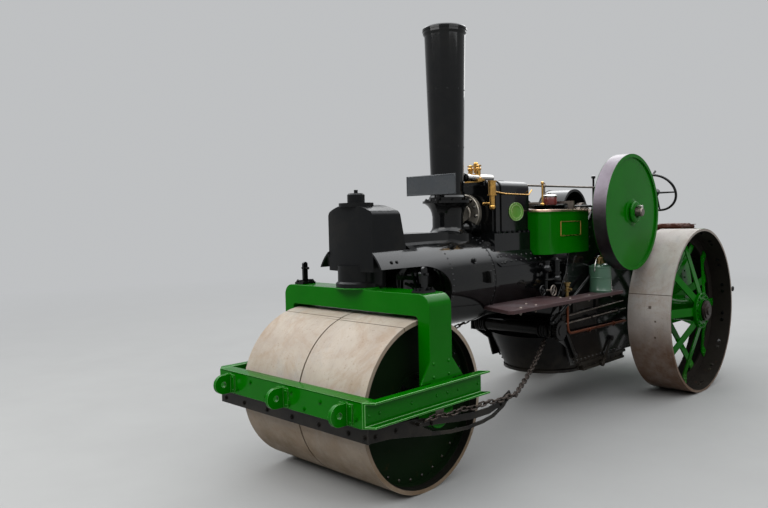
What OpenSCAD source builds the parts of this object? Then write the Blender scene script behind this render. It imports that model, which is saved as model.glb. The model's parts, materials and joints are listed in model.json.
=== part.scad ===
// Single-cylinder steam road roller with a split front roll, in millimetres.
// +X points forward, +Y to the flywheel side and +Z up. The origin is on the ground, under the middle.

/* [Overall] */
// Distance between the front and rear axles
wheelbase = 3535; // [3300:5:3800]
// Height of the boiler's centre line above the ground
boiler_axis_z = 1212; // [1200:2:1225]
// Height of the crankshaft and cylinder centre line
crank_axis_z = 1690; // [1660:5:1720]
// Distance of the crankshaft ahead of the rear axle
crank_x = 922; // [900:2:960]

/* [Boiler] */
// Outer radius of the lagged barrel
boiler_r = 322; // [305:1:330]
// Outer radius of the smokebox
smokebox_r = 338; // [334:1:345]
// Front face of the firebox, ahead of the rear axle
firebox_front_x = 1500; // [1450:5:1550]
// Joint between the barrel and the smokebox, ahead of the rear axle
smokebox_rear_x = 2432; // [2400:2:2460]
// Front plate of the smokebox, ahead of the rear axle
smokebox_front_x = 2965; // [2930:5:2990]
// Thickness of the smokebox and wing plates
smokebox_plate = 12; // [8:1:16]
// Radius of the firebox crown, under the crankshaft
crown_r = 298; // [280:1:300]
// Underside of the firebox above the ground
firebox_bottom_z = 560; // [500:10:600]

/* [Chimney] */
// Distance of the chimney ahead of the rear axle
chimney_x = 2589; // [2570:1:2620]
// Outer radius at the bottom of the chimney
chimney_foot_r = 121; // [105:1:130]
// Outer radius at the top of the chimney
chimney_top_r = 152; // [130:1:170]
// Height of the chimney's rim above the ground
chimney_rim_z = 3086; // [2900:1:3200]
// Thickness of the chimney's wall
chimney_wall = 8; // [5:1:15]

/* [Headstock] */
// Half width of the headstock across its front
headstock_half_w = 212; // [195:1:225]
// Height of the headstock's top above the ground
headstock_top_z = 1774; // [1700:1:1790]
// Front face of the headstock ahead of the kingpin
headstock_front = 82; // [75:1:95]
// Rear face of the headstock behind the kingpin
headstock_rear = 186; // [160:2:200]
// Radius of the kingpin
kingpin_r = 45; // [35:1:50]

/* [Front roll] */
// Radius of the front rolls
roll_r = 533; // [510:1:545]
// Half width over both rolls
roll_half_w = 580; // [540:1:585]
// Gap between the two rolls
roll_gap = 12; // [8:1:20]
// Thickness of a roll's rim
roll_rim = 28; // [20:1:40]
// Radius of the front axle
front_axle_r = 40; // [30:1:48]

/* [Fork] */
// Clearance between the fork's legs and the rolls
fork_side_gap = 18; // [15:1:24]
// Thickness of a fork leg
fork_leg_t = 92; // [70:1:100]
// Clearance between the rolls and the fork's beam
fork_top_gap = 24; // [15:1:35]
// Depth of the fork's beam
fork_beam_h = 135; // [110:1:160]
// Front face of the fork ahead of the axle
fork_front = 80; // [60:1:90]
// Rear face of the fork behind the axle
fork_rear = 125; // [100:1:140]

/* [Towing frame] */
// Front face of the frame ahead of the front axle
frame_front = 640; // [630:1:670]
// Height of the channel section
channel_h = 145; // [120:1:150]
// Width of the channel's flanges
channel_flange = 58; // [45:1:60]
// Thickness of the channel
channel_t = 12; // [8:1:16]
// Bottom of the channels above the front axle
channel_low = 22; // [15:1:30]
// Rear end of the side channels behind the front axle
channel_rear = 430; // [380:5:450]
// Radius of the hole in each towing lug
lug_hole_r = 19; // [12:1:25]
// Thickness of a towing lug
lug_t = 24; // [16:1:30]

/* [Rear wheels] */
// Radius of the rear driving wheels
rear_wheel_r = 762; // [750:1:770]
// Inner face of a rear wheel's rim, from the centre line
rear_wheel_inner_y = 549; // [540:1:560]
// Width of a rear wheel's rim
rear_wheel_w = 379; // [350:1:400]
// Thickness of the rim
rear_rim_t = 24; // [18:1:32]
// Radius of the rear axle
rear_axle_r = 57; // [45:1:60]
// Number of spokes in each of a wheel's two sets
spoke_count = 8; // [6:1:10]

/* [Flywheel] */
// Radius of the flywheel
flywheel_r = 497; // [480:1:505]
// Inner face of the flywheel, from the centre line
flywheel_inner_y = 564; // [555:1:570]
// Width of the flywheel's rim
flywheel_w = 122; // [100:1:130]
// Radius of the crankshaft
crankshaft_r = 38; // [30:1:45]
// Radius of the crank pin's circle, half of the stroke
crank_throw = 120; // [105:1:122]

/* [Side plates] */
// Outer face of the hornplates, from the centre line
hornplate_y = 400; // [390:1:410]
// Thickness of the hornplates
hornplate_t = 14; // [10:1:18]
// Rear edge of the hornplates behind the rear axle
hornplate_rear = 170; // [150:5:200]
// Fold of the motion covers, ahead of the rear axle
cover_fold_x = 1880; // [1850:5:1900]
// Bottom edge of the motion covers above the ground
cover_low_z = 1365; // [1350:5:1400]
// Thickness of the motion covers
cover_t = 6; // [4:1:8]

/* [Tender] */
// Rear face of the tender behind the rear axle
tender_rear = 1190; // [1100:5:1250]
// Half width of the tender
tender_half_w = 500; // [450:5:520]
// Height of the tender's side plates above the ground
tender_top_z = 1500; // [1450:5:1550]
// Height of the footplate above the ground
footplate_z = 900; // [890:5:930]
// Thickness of the tender's plates
tender_t = 8; // [6:1:12]
// Underside of the tender above the ground
tender_low_z = 560; // [520:5:600]
// Height of the tank's deck above the ground
tank_deck_z = 1150; // [1050:5:1250]
// Front of the tank and bunker behind the rear axle
tank_front = 640; // [600:5:700]

/* [Running boards] */
// Top of the running boards above the ground
board_top_z = 1018; // [1000:1:1040]
// Thickness of the boards
board_t = 28; // [20:1:40]
// Front end of the boards, ahead of the rear axle
board_front_x = 2650; // [2600:5:2680]
// Rear end of the boards, ahead of the rear axle
board_rear_x = 960; // [950:5:1050]
// Outer edge of the boards, from the centre line
board_outer_y = 606; // [590:1:620]

/* [Steering] */
// Distance of the chain barrel ahead of the rear axle
barrel_x = 1740; // [1720:5:1780]
// Height of the chain barrel above the ground
barrel_z = 750; // [740:5:765]
// Radius of the chain barrel
barrel_r = 62; // [50:1:70]
// Radius of the steering hand wheel
hand_wheel_r = 205; // [180:1:215]
// Slope of the steering shaft below the horizontal, in degrees
column_slope = 28.5; // [26:0.5:30]

/* [Hidden] */
$fn = 64;

// Clearances: turning faces, shafts in their bores, curved seats and flat seats
turn_gap = 6;
run_fit = 0.05;
seat_gap = 0.3;

// The rear axle's place, so that the whole object is centred on the origin
lug_end_r = 62;
lug_hole_x = frame_front + 62;
drawbar_reach = 110;
rear_reach = tender_rear + drawbar_reach;
front_reach = lug_hole_x + lug_end_r;
rear_x = (rear_reach - wheelbase - front_reach) / 2;

// Heights that follow from the front roll
fork_inner_y = roll_half_w + fork_side_gap;
fork_outer_y = fork_inner_y + fork_leg_t;
beam_low = roll_r + fork_top_gap;
beam_top = beam_low + fork_beam_h;
beam_top_z = roll_r + beam_top;
channel_y = fork_outer_y + seat_gap;
channel_outer_y = channel_y + channel_flange;
boiler_top_z = boiler_axis_z + boiler_r;

// Places inside the rear wheels
wheel_mid_y = rear_wheel_inner_y + rear_wheel_w / 2;
wheel_outer_y = rear_wheel_inner_y + rear_wheel_w;
hub_outer_y = wheel_outer_y + 12;
hub_inner_y = rear_wheel_inner_y - 16;

module engine() { translate([rear_x, 0, 0]) children(); }
module front() { translate([rear_x + wheelbase, 0, roll_r]) children(); }
module both_sides() { children(); mirror([0, 1, 0]) children(); }
module block(x0, x1, y0, y1, z0, z1) { translate([x0, y0, z0]) cube([x1 - x0, y1 - y0, z1 - z0]); }
module along_x(x0, x1, y, z, r) { translate([x0, y, z]) rotate([0, 90, 0]) cylinder(r = r, h = x1 - x0); }
module along_y(y0, y1, x, z, r) { translate([x, y1, z]) rotate([90, 0, 0]) cylinder(r = r, h = y1 - y0); }
module along_z(z0, z1, x, y, r) { translate([x, y, z0]) cylinder(r = r, h = z1 - z0); }
// An outline drawn in Y and Z, drawn out along X
module profile_x(x0, x1) { translate([x0, 0, 0]) rotate([90, 0, 90]) linear_extrude(x1 - x0) children(); }
// An outline drawn in X and Z, drawn out along Y
module profile_y(y0, y1) { translate([0, y1, 0]) rotate([90, 0, 0]) linear_extrude(y1 - y0) children(); }
// A round bar between two points
module bar(a, b, r) {
    d = b - a;
    translate(a) rotate([0, acos(d.z / norm(d)), atan2(d.y, d.x)]) cylinder(r = r, h = norm(d));
}
// A pipe through a list of points, with a ball at each bend
module pipe(points, r) {
    for (k = [1:len(points) - 1]) bar(points[k - 1], points[k], r);
    for (k = [1:len(points) - 2]) translate(points[k]) sphere(r + 1);
}
// A quarter bend that starts at the origin along -Z and ends along -X
module bend(radius, r) {
    translate([-radius, 0, 0]) rotate([90, 0, 0]) rotate_extrude(angle = -90)
        translate([radius, 0]) circle(r);
}
// A flat outline with its two upper corners rounded
module arched(half_w, low, high, r) {
    translate([-half_w, low]) square([2 * half_w, high - low - r]);
    translate([r - half_w, low]) square([2 * (half_w - r), high - low]);
    for (s = [-1, 1]) translate([s * (half_w - r), high - r]) circle(r);
}

module boiler_barrel() {
    color("black") engine() {
        along_x(firebox_front_x, smokebox_rear_x, 0, boiler_axis_z, boiler_r);
    }
}

firebox_back_x = 500;
firebox_half_w = hornplate_y - hornplate_t;
firebox_shoulder_z = boiler_axis_z + 60;
fire_hole_z = footplate_z + 160;
fire_hole_r = 140;
fire_door_r = 158;
fire_door_t = 18;
hinge_r = 8;
hinge_x = firebox_back_x - seat_gap - fire_door_t / 2 - 6;
hinge_y = fire_door_r + 24;
hinge_z = fire_hole_z;
module firebox() {
    color("black") engine() {
        difference() {
            union() {
                block(firebox_back_x, firebox_front_x, -firebox_half_w, firebox_half_w, firebox_bottom_z,
                    firebox_shoulder_z);
                along_x(firebox_back_x, firebox_front_x, 0, boiler_axis_z, crown_r);
            }
            along_x(firebox_back_x - 1, firebox_back_x + 70, 0, fire_hole_z, fire_hole_r);
        }
        // hinge lugs and pin of the fire door
        for (s = [-1, 1]) block(hinge_x - 14, firebox_back_x, hinge_y - 14, hinge_y + 14,
            hinge_z + s * 100 - 12, hinge_z + s * 100 + 12);
        along_z(hinge_z - 88, hinge_z + 88, hinge_x, hinge_y, hinge_r);
    }
}

hornplate_top_z = crank_axis_z + 70;
// Steering gear: worm above and ahead of the barrel's worm wheel, on a sloping shaft
worm_wheel_r = 84;
worm_wheel_teeth = 28;
worm_r = 28;
worm_clear = 6;
worm_reach = worm_wheel_r + worm_r + worm_clear;
column_y = hornplate_y + 42;
column_r = 15;
shaft_dir = [-cos(column_slope), 0, sin(column_slope)];
worm_pos = [barrel_x + worm_reach * sin(column_slope), column_y, barrel_z + worm_reach * cos(column_slope)];
column_len = 2145;
wheel_x = worm_pos.x + column_len * shaft_dir.x;
wheel_y = column_y;
wheel_z = worm_pos.z + column_len * shaft_dir.z;
column_axis = shaft_dir;
bearing_at = 1480;
barrel_pin_r = 25;

hornplate_low_z = 420;
throat_x = firebox_front_x + 60;
nose_x = barrel_x + 70;
nose_z = barrel_z + 90;
// Front edge of the hornplates at a height between their nose and the throat
function horn_front(z) = throat_x + (boiler_axis_z - z) * (nose_x - throat_x) / (boiler_axis_z - nose_z);
module hornplate_outline() {
    polygon([
        [-hornplate_rear, 560], [-hornplate_rear, 1250], [200, 1330], [crank_x - 300, crank_axis_z - 90],
        [crank_x - 150, hornplate_top_z], [crank_x + 150, hornplate_top_z],
        [crank_x + 260, crank_axis_z - 60], [firebox_front_x, 1420], [throat_x, boiler_axis_z],
        [nose_x, nose_z], [nose_x, barrel_z - 55], [barrel_x, barrel_z - 70],
        [throat_x, firebox_bottom_z + 20], [firebox_front_x, hornplate_low_z], [400, hornplate_low_z],
        [170, 560]]);
}
module hornplates() {
    color("black") engine() {
        both_sides() difference() {
            union() {
                profile_y(hornplate_y - hornplate_t, hornplate_y) hornplate_outline();
                // axle box
                along_y(hornplate_y - 70, hornplate_y + 60, 0, rear_wheel_r, rear_axle_r + 60);
                block(-140, 140, hornplate_y, hornplate_y + 22, rear_wheel_r - 160, rear_wheel_r + 160);
                // crankshaft bearing
                block(crank_x - 95, crank_x + 95, hornplate_y - 60, hornplate_y + 50, crank_axis_z - 70,
                    hornplate_top_z - 6);
                // chain barrel bearing
                along_y(hornplate_y - hornplate_t, hornplate_y + 12, barrel_x, barrel_z, barrel_pin_r + 22);
            }
            along_y(hornplate_y - 71, hornplate_y + 61, 0, rear_wheel_r, rear_axle_r + run_fit);
            along_y(hornplate_y - 61, hornplate_y + 60, crank_x, crank_axis_z, crankshaft_r + run_fit);
            along_y(hornplate_y - 61, hornplate_y + 60, barrel_x, barrel_z, barrel_pin_r + run_fit);
        }
        // angle iron along the top edge, on the flywheel side
        block(crank_x - 150, crank_x + 150, hornplate_y - 1, hornplate_y + 26, hornplate_top_z - 16,
            hornplate_top_z);
    }
}

wing_front_x = wheelbase + headstock_front - 10;
base_foot_r = 180;
wing_front_r = smokebox_r - 8;
wing_low_z = boiler_axis_z + 146;
wing_sweep = 270;
module under_wing() {
    // what is cut away below the wing: its edge sweeps down to the front plate
    sweep_low_z = boiler_axis_z - 30;
    polygon([
        [smokebox_front_x, 0], [smokebox_front_x, sweep_low_z],
        for (a = [10:10:90])
            [smokebox_front_x + wing_sweep * (1 - cos(a)), sweep_low_z + (wing_low_z - sweep_low_z) * sin(a)],
        [wing_front_x + 1, wing_low_z], [wing_front_x + 1, 0]]);
}
door_recess = 70;
top_plate_z = boiler_axis_z + smokebox_r + 22;
top_plate_half_w = 150;
module smokebox() {
    inner_r = smokebox_r - smokebox_plate;
    color("black") engine() difference() {
        union() {
            // drum, recess of the front plate and wing in one turned outline of radius and length
            translate([0, 0, boiler_axis_z]) rotate([0, 90, 0]) rotate_extrude()
                polygon([
                    [0, smokebox_rear_x], [smokebox_r, smokebox_rear_x], [smokebox_r, smokebox_front_x],
                    [wing_front_r, wing_front_x], [wing_front_r - smokebox_plate, wing_front_x],
                    [inner_r, smokebox_front_x], [inner_r, smokebox_front_x - door_recess],
                    [0, smokebox_front_x - door_recess]]);
            // raised plate between the chimney and the headstock
            difference() {
                block(chimney_x + base_foot_r, wheelbase - headstock_rear, -top_plate_half_w,
                    top_plate_half_w, boiler_axis_z + 200, top_plate_z);
                along_x(chimney_x, wheelbase, 0, boiler_axis_z, inner_r);
            }
        }
        profile_y(-400, 400) under_wing();
        // place of the headstock
        block(wheelbase - headstock_rear - 100, wheelbase + headstock_front + 1, -headstock_half_w - seat_gap,
            headstock_half_w + seat_gap, wing_low_z - 10, 2000);
    }
}

door_r = 190;
door_dish_r = 640;
door_z = boiler_axis_z - 40;
module smokebox_door() {
    plate_x = smokebox_front_x - door_recess;
    color("black") engine() {
        along_x(plate_x, plate_x + 10, 0, door_z, door_r + 16);
        // dished door
        intersection() {
            along_x(plate_x + 9, plate_x + 60, 0, door_z, door_r);
            translate([plate_x + 44 - door_dish_r, 0, door_z]) sphere(door_dish_r);
        }
        along_x(plate_x + 30, plate_x + 62, 0, door_z, 26);
        along_x(plate_x + 62, plate_x + 68, 0, door_z, 11);
        // two handles and the two hinge straps
        for (a = [0, 55]) translate([plate_x + 60, 0, door_z]) rotate([a + 20, 0, 0])
            block(-6, 6, -9, 9, -8, 118);
        for (z = [-70, 70])
            block(plate_x + 14, plate_x + 46, -door_r - 24, -20, door_z + z - 15, door_z + z + 15);
        along_z(door_z - 96, door_z + 96, plate_x + 24, -door_r - 24, 11);
    }
}

neck_r = 132;
neck_collar_h = 24;
fork_boss_h = 10;
dome_r = 458;
shoulder_r = 40;
dome_rise = sqrt(pow(dome_r - shoulder_r, 2) - pow(headstock_half_w - shoulder_r, 2));
dome_mid_z = headstock_top_z - dome_r + dome_rise;
front_crown_r = 1133;
flare_w = 78;
flare_r = 125;
flare_top_z = wing_low_z + 126;
cap_flange_r = 115;
cap_boss_r = 58;
cap_low_z = headstock_top_z - 14;
module headstock_side() {
    polygon([
        [wheelbase - headstock_rear - 68, wing_low_z], [wheelbase - headstock_rear - 60, wing_low_z + 130],
        [wheelbase - headstock_rear, dome_mid_z + 60], [wheelbase - headstock_rear, headstock_top_z + 1],
        [wheelbase + headstock_front, headstock_top_z + 1], [wheelbase + headstock_front, wing_low_z - 20]]);
}
// The front view: upright sides, two rounded shoulders and a domed top
module dome_outline(low) {
    mid_y = headstock_half_w - shoulder_r;
    tangent_y = mid_y * dome_r / (dome_r - shoulder_r);
    translate([-headstock_half_w, low]) square([2 * headstock_half_w, dome_mid_z - low]);
    intersection() {
        translate([0, headstock_top_z - dome_r]) circle(dome_r);
        translate([-tangent_y, dome_mid_z - 1]) square([2 * tangent_y, 200]);
    }
    for (s = [-1, 1]) translate([s * mid_y, dome_mid_z]) circle(shoulder_r);
}
// The curved foot that spreads from each side onto the wing
module headstock_flare() {
    difference() {
        translate([headstock_half_w - 1, wing_low_z - 40]) square([flare_w + 1, flare_r + 60]);
        translate([headstock_half_w + flare_r, flare_top_z]) circle(flare_r);
        translate([headstock_half_w - 2, flare_top_z]) square([flare_w + 3, 100]);
    }
}
module headstock() {
    low_z = beam_top_z + fork_boss_h + 2;
    color("black") engine() {
        difference() {
            union() {
                intersection() {
                    translate([wheelbase, 0, 0]) profile_x(-headstock_rear - 80, headstock_front)
                        dome_outline(wing_low_z - 20);
                    profile_y(-300, 300) headstock_side();
                    // front face slightly crowned
                    along_z(wing_low_z - 21, headstock_top_z + 1,
                        wheelbase + headstock_front - front_crown_r, 0, front_crown_r);
                }
                difference() {
                    both_sides() profile_x(wheelbase - 60, wheelbase + headstock_front - 20)
                        headstock_flare();
                    translate([smokebox_front_x, 0, boiler_axis_z]) rotate([0, 90, 0])
                        cylinder(r1 = smokebox_r + seat_gap, r2 = wing_front_r + seat_gap,
                            h = wing_front_x - smokebox_front_x);
                    along_x(wing_front_x - 1, wing_front_x + 100, 0, boiler_axis_z, wing_front_r + seat_gap);
                }
                along_z(low_z, wing_low_z + 20, wheelbase, 0, neck_r);
                along_z(low_z, low_z + neck_collar_h, wheelbase, 0, neck_r + 14);
                translate([wheelbase, 0, low_z + neck_collar_h])
                    cylinder(r1 = neck_r + 14, r2 = neck_r, h = 12);
                along_z(cap_low_z, headstock_top_z + 12, wheelbase, 0, cap_flange_r);
                along_z(cap_low_z, headstock_top_z + 66, wheelbase, 0, cap_boss_r);
                translate([wheelbase, 0, headstock_top_z + 66])
                    cylinder(r1 = cap_boss_r, r2 = cap_boss_r - 10, h = 10);
                along_z(headstock_top_z + 70, headstock_top_z + 98, wheelbase, 0, 13);
            }
            along_z(beam_top_z, headstock_top_z, wheelbase, 0, kingpin_r + run_fit);
        }
    }
}

base_flange_z = 1803;
base_r = 117;
base_flange_r = 189;
base_flare_r = 68;
base_fillet_r = 62;
module chimney_base() {
    flare_low = base_flange_z - 18 - base_flare_r;
    foot_top = boiler_axis_z + smokebox_r + base_fillet_r + 6;
    color("black") engine() {
        difference() {
            translate([chimney_x, 0, 0]) {
                translate([0, 0, boiler_axis_z]) cylinder(r = base_r, h = base_flange_z - boiler_axis_z - 10);
                // curve under the flange
                translate([0, 0, flare_low]) rotate_extrude() difference() {
                    translate([base_r - 20, 0]) square([20 + base_flare_r, base_flare_r + 1]);
                    translate([base_r + base_flare_r, 0]) circle(base_flare_r);
                }
                translate([0, 0, base_flange_z - 18]) cylinder(r = base_flange_r, h = 18);
                translate([0, 0, base_flange_z]) cylinder(r = 140, h = 26);
                translate([0, 0, base_flange_z + 26]) cylinder(r1 = 140, r2 = 131, h = 14);
                // foot that spreads onto the smokebox
                translate([0, 0, foot_top - base_fillet_r]) rotate_extrude() difference() {
                    translate([base_r - 20, 0]) square([20 + base_fillet_r, base_fillet_r]);
                    translate([base_r + base_fillet_r, base_fillet_r]) circle(base_fillet_r);
                }
                translate([0, 0, boiler_axis_z])
                    cylinder(r = base_foot_r - 1, h = foot_top - base_fillet_r - boiler_axis_z);
            }
            along_x(chimney_x - 300, chimney_x + 300, 0, boiler_axis_z, smokebox_r + seat_gap);
            along_z(1650, base_flange_z + 41, chimney_x, 0, chimney_foot_r - chimney_wall - 4);
        }
    }
}

chimney_foot_z = base_flange_z + 40;
module chimney_body(gap) {
    translate([0, 0, chimney_foot_z])
        cylinder(r1 = chimney_foot_r + gap, r2 = chimney_top_r + gap,
            h = chimney_rim_z - 60 - chimney_foot_z);
}
module chimney() {
    cap_r = chimney_top_r + 14;
    color("black") engine() translate([chimney_x, 0, 0]) {
        difference() {
            union() {
                chimney_body(0);
                translate([0, 0, chimney_foot_z]) cylinder(r = chimney_foot_r + 9, h = 26);
                // moulded cap
                translate([0, 0, chimney_rim_z - 60]) cylinder(r1 = chimney_top_r, r2 = cap_r - 4, h = 18);
                translate([0, 0, chimney_rim_z - 42]) cylinder(r = cap_r - 4, h = 22);
                translate([0, 0, chimney_rim_z - 24]) cylinder(r = cap_r, h = 16);
                translate([0, 0, chimney_rim_z - 8]) cylinder(r1 = cap_r, r2 = cap_r - 6, h = 8);
            }
            translate([0, 0, chimney_foot_z - 1])
                cylinder(r1 = chimney_foot_r - chimney_wall, r2 = chimney_top_r - chimney_wall,
                    h = chimney_rim_z - chimney_foot_z + 2);
        }
    }
}

plate_x = chimney_x + 190;
module number_plate() {
    color("dimgray") engine() {
        block(plate_x, plate_x + 6, -237, 237, 1845, 1992);
        difference() {
            for (s = [-1, 1]) block(chimney_x, plate_x, s * 60 - 10, s * 60 + 10, 1885, 1893);
            translate([chimney_x, 0, 0]) chimney_body(seat_gap);
        }
    }
}

cyl_front_x = 2330;
cyl_rear_x = 1860;
cyl_half_w = 244;
cyl_top_z = crank_axis_z + 262;
cyl_seam_x = 2236;
foot_top_z = crank_axis_z - 143;
foot_rear_x = cyl_rear_x - 16;
foot_half_w = cyl_half_w + 20;
// The bare casting lies lower than the lagging, and the seam's band higher
cyl_step = 5;
seam_h = 4;
regulator_h = 12;
regulator_front_x = cyl_seam_x - 30;
valve_rod_y = 150;
valve_rod_z = crank_axis_z + 30;
saddle_t = 8;
module cylinder_block() {
    low_z = boiler_axis_z + 200;
    color("black") engine() {
        difference() {
            union() {
                // lagged rear part, and the bare casting in front of the seam
                profile_x(cyl_rear_x, cyl_seam_x) arched(cyl_half_w, low_z, cyl_top_z, 60);
                profile_x(cyl_seam_x - 1, cyl_front_x - 26)
                    arched(cyl_half_w - cyl_step, low_z, cyl_top_z - cyl_step, 55);
                profile_x(cyl_seam_x - 8, cyl_seam_x + 6)
                    arched(cyl_half_w + seam_h, low_z, cyl_top_z + seam_h, 64);
                profile_x(cyl_front_x - 26, cyl_front_x) arched(cyl_half_w - 18, low_z, cyl_top_z - 30, 110);
                along_x(cyl_front_x, cyl_front_x + 24, 0, crank_axis_z, 138);
                // regulator box on top
                block(cyl_seam_x - 250, regulator_front_x, -92, 92, cyl_top_z - 20, cyl_top_z + regulator_h);
                // foot with its flange on the boiler
                block(foot_rear_x, cyl_front_x + 30, -foot_half_w, foot_half_w, low_z, foot_top_z);
                // gland of the piston rod and of the valve rod
                along_x(cyl_rear_x - 46, cyl_rear_x + 1, 0, crank_axis_z, 46);
                along_x(cyl_rear_x - 40, cyl_rear_x + 1, valve_rod_y, valve_rod_z, 30);
            }
            along_x(cyl_rear_x - 50, cyl_front_x + 31, 0, boiler_axis_z, boiler_r + saddle_t + 2 * seat_gap);
        }
    }
}

module cylinder_cover() {
    start_x = cyl_front_x + 24;
    color("silver") engine() {
        along_x(start_x, start_x + 14, 0, crank_axis_z, 130);
        translate([start_x + 14, 0, crank_axis_z]) rotate([0, 90, 0]) cylinder(r1 = 108, r2 = 92, h = 10);
        along_x(start_x + 24, start_x + 34, 0, crank_axis_z, 34);
    }
}

module safety_valves() {
    base_z = cyl_top_z + 24;
    valve_x = cyl_seam_x + 14;
    color("gold") engine() {
        // base plate over the seam, let down onto the bare casting in front of it
        block(regulator_front_x, valve_x + 44, -66, 66, cyl_top_z + seam_h, base_z);
        block(cyl_seam_x + 6 + seat_gap, valve_x + 44, -66, 66, cyl_top_z - cyl_step, base_z - 1);
        for (s = [-1, 1]) translate([valve_x, s * 38, base_z]) rotate_extrude()
            polygon([
                [0, 0], [26, 0], [26, 8], [19, 14], [19, 66], [24, 72], [24, 82], [15, 90], [15, 104],
                [6, 112], [0, 112]]);
        block(valve_x - 6, valve_x + 6, -64, 64, base_z + 96, base_z + 108);
        // whistle on the regulator box
        translate([cyl_seam_x - 60, -40, cyl_top_z + regulator_h]) rotate_extrude()
            polygon([[0, 0], [18, 0], [18, 24], [8, 30], [8, 60], [20, 66], [20, 140], [12, 150], [0, 150]]);
        pipe([
            [cyl_seam_x - 60, -40, cyl_top_z + 38], [cyl_seam_x - 36, -40, cyl_top_z + 38],
            [cyl_seam_x - 18, -40, base_z - 6]], 7);
    }
}

module lubricator() {
    x = cyl_front_x + 34;
    y = cyl_half_w + 6;
    color("gold") engine() {
        along_z(crank_axis_z + 151, crank_axis_z + 248, x, y, 29);
        along_z(crank_axis_z + 248, crank_axis_z + 258, x, y, 34);
        along_z(crank_axis_z + 146, crank_axis_z + 156, x, y, 35);
        along_z(crank_axis_z + 60, crank_axis_z + 152, x, y, 20);
        translate([x, y, crank_axis_z + 60]) sphere(23);
        pipe([
            [x, y, crank_axis_z + 85], [x, y - 76, crank_axis_z + 85],
            [cyl_front_x, y - 76, crank_axis_z + 85]], 12);
        // thin feed pipe along the cylinder's side
        pipe([
            [x, y, crank_axis_z + 173], [x - 36, y + 8, crank_axis_z + 173],
            [cyl_seam_x - 30, y + 16, crank_axis_z + 160], [cyl_rear_x + 35, y + 16, crank_axis_z + 155],
            [cyl_rear_x - 25, y + 8, crank_axis_z + 195]], 5);
    }
}

saddle_low_z = boiler_axis_z + 88;
saddle_rear_x = firebox_front_x + 100;
module saddle_plate() {
    long = smokebox_rear_x - saddle_rear_x;
    color("black") engine() intersection() {
        difference() {
            along_x(saddle_rear_x, smokebox_rear_x - 2, 0, boiler_axis_z, boiler_r + seat_gap + saddle_t);
            along_x(saddle_rear_x - 1, smokebox_rear_x, 0, boiler_axis_z, boiler_r + seat_gap);
        }
        // lower edge level, with its front corners cut off
        profile_y(-400, 400) polygon([
            [saddle_rear_x, saddle_low_z], [smokebox_rear_x - 0.1 * long, saddle_low_z],
            [smokebox_rear_x, saddle_low_z + 60], [smokebox_rear_x, boiler_top_z + 50],
            [saddle_rear_x, boiler_top_z + 50]]);
    }
}

crosshead_x = crank_x + 640;
module motion_bars() {
    plate_x0 = crosshead_x - 160;
    color("silver") engine() {
        // slide bars with their end blocks, piston rod and crosshead
        for (z = [-75, 75])
            block(plate_x0, cyl_rear_x, -40, 40, crank_axis_z + z - 14, crank_axis_z + z + 14);
        along_x(crosshead_x + 60, cyl_rear_x - 46, 0, crank_axis_z, 24);
        along_x(crosshead_x + 56, crosshead_x + 84, 0, crank_axis_z, 36);
        block(crosshead_x - 60, crosshead_x + 60, -40, 40, crank_axis_z - 61, crank_axis_z + 61);
        along_y(-52, 52, crosshead_x, crank_axis_z, 30);
        // plate across the hornplates that carries the bars
        difference() {
            block(plate_x0 - 18, plate_x0, -firebox_half_w + seat_gap, firebox_half_w - seat_gap,
                boiler_axis_z + 200, crank_axis_z + 106);
            along_x(plate_x0 - 19, plate_x0 + 1, 0, boiler_axis_z, crown_r + seat_gap);
            block(plate_x0 - 19, plate_x0 + 1, -56, 56, crank_axis_z - 58, crank_axis_z + 58);
            for (y = [[-330, -130], [96, 330]])
                block(plate_x0 - 19, plate_x0 + 1, y[0], y[1], crank_axis_z - 70, crank_axis_z + 84);
        }
        // valve rod in its guide, and the long regulator rod with its post
        along_x(crank_x + 330, cyl_rear_x - 40, valve_rod_y, valve_rod_z, 15);
        block(crank_x + 330, crank_x + 390, valve_rod_y - 24, valve_rod_y + 24, valve_rod_z - 30,
            valve_rod_z + 30);
        along_x(plate_x0 - 40, plate_x0 + 20, valve_rod_y, valve_rod_z, 26);
        block(plate_x0 - 18, plate_x0, valve_rod_y - 30, valve_rod_y + 30, crank_axis_z - 71, valve_rod_z);
        bar([cyl_rear_x, 100, crank_axis_z + 242], [firebox_back_x + 10, 100, crank_axis_z + 246], 9);
        along_z(crank_axis_z + 84, crank_axis_z + 270, plate_x0 - 9, 100, 9);
        translate([plate_x0 - 9, 100, crank_axis_z + 244]) sphere(17);
    }
}

module connecting_rod() {
    rod_x = crank_x + crank_throw + crank_pin_r + turn_gap;
    small_end = crosshead_x - 60;
    color("silver") engine() {
        translate([rod_x + 60, 0, crank_axis_z]) rotate([0, 90, 0])
            cylinder(r1 = 25, r2 = 19, h = small_end - rod_x - 60);
        block(rod_x, rod_x + 44, -46, 46, crank_axis_z - 52, crank_axis_z + 52);
        block(rod_x + 44, rod_x + 62, -30, 30, crank_axis_z - 36, crank_axis_z + 36);
        along_x(small_end - 26, small_end, 0, crank_axis_z, 30);
        for (z = [-40, 40]) along_x(rod_x + 40, rod_x + 60, 0, crank_axis_z + z, 9);
    }
}

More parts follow.
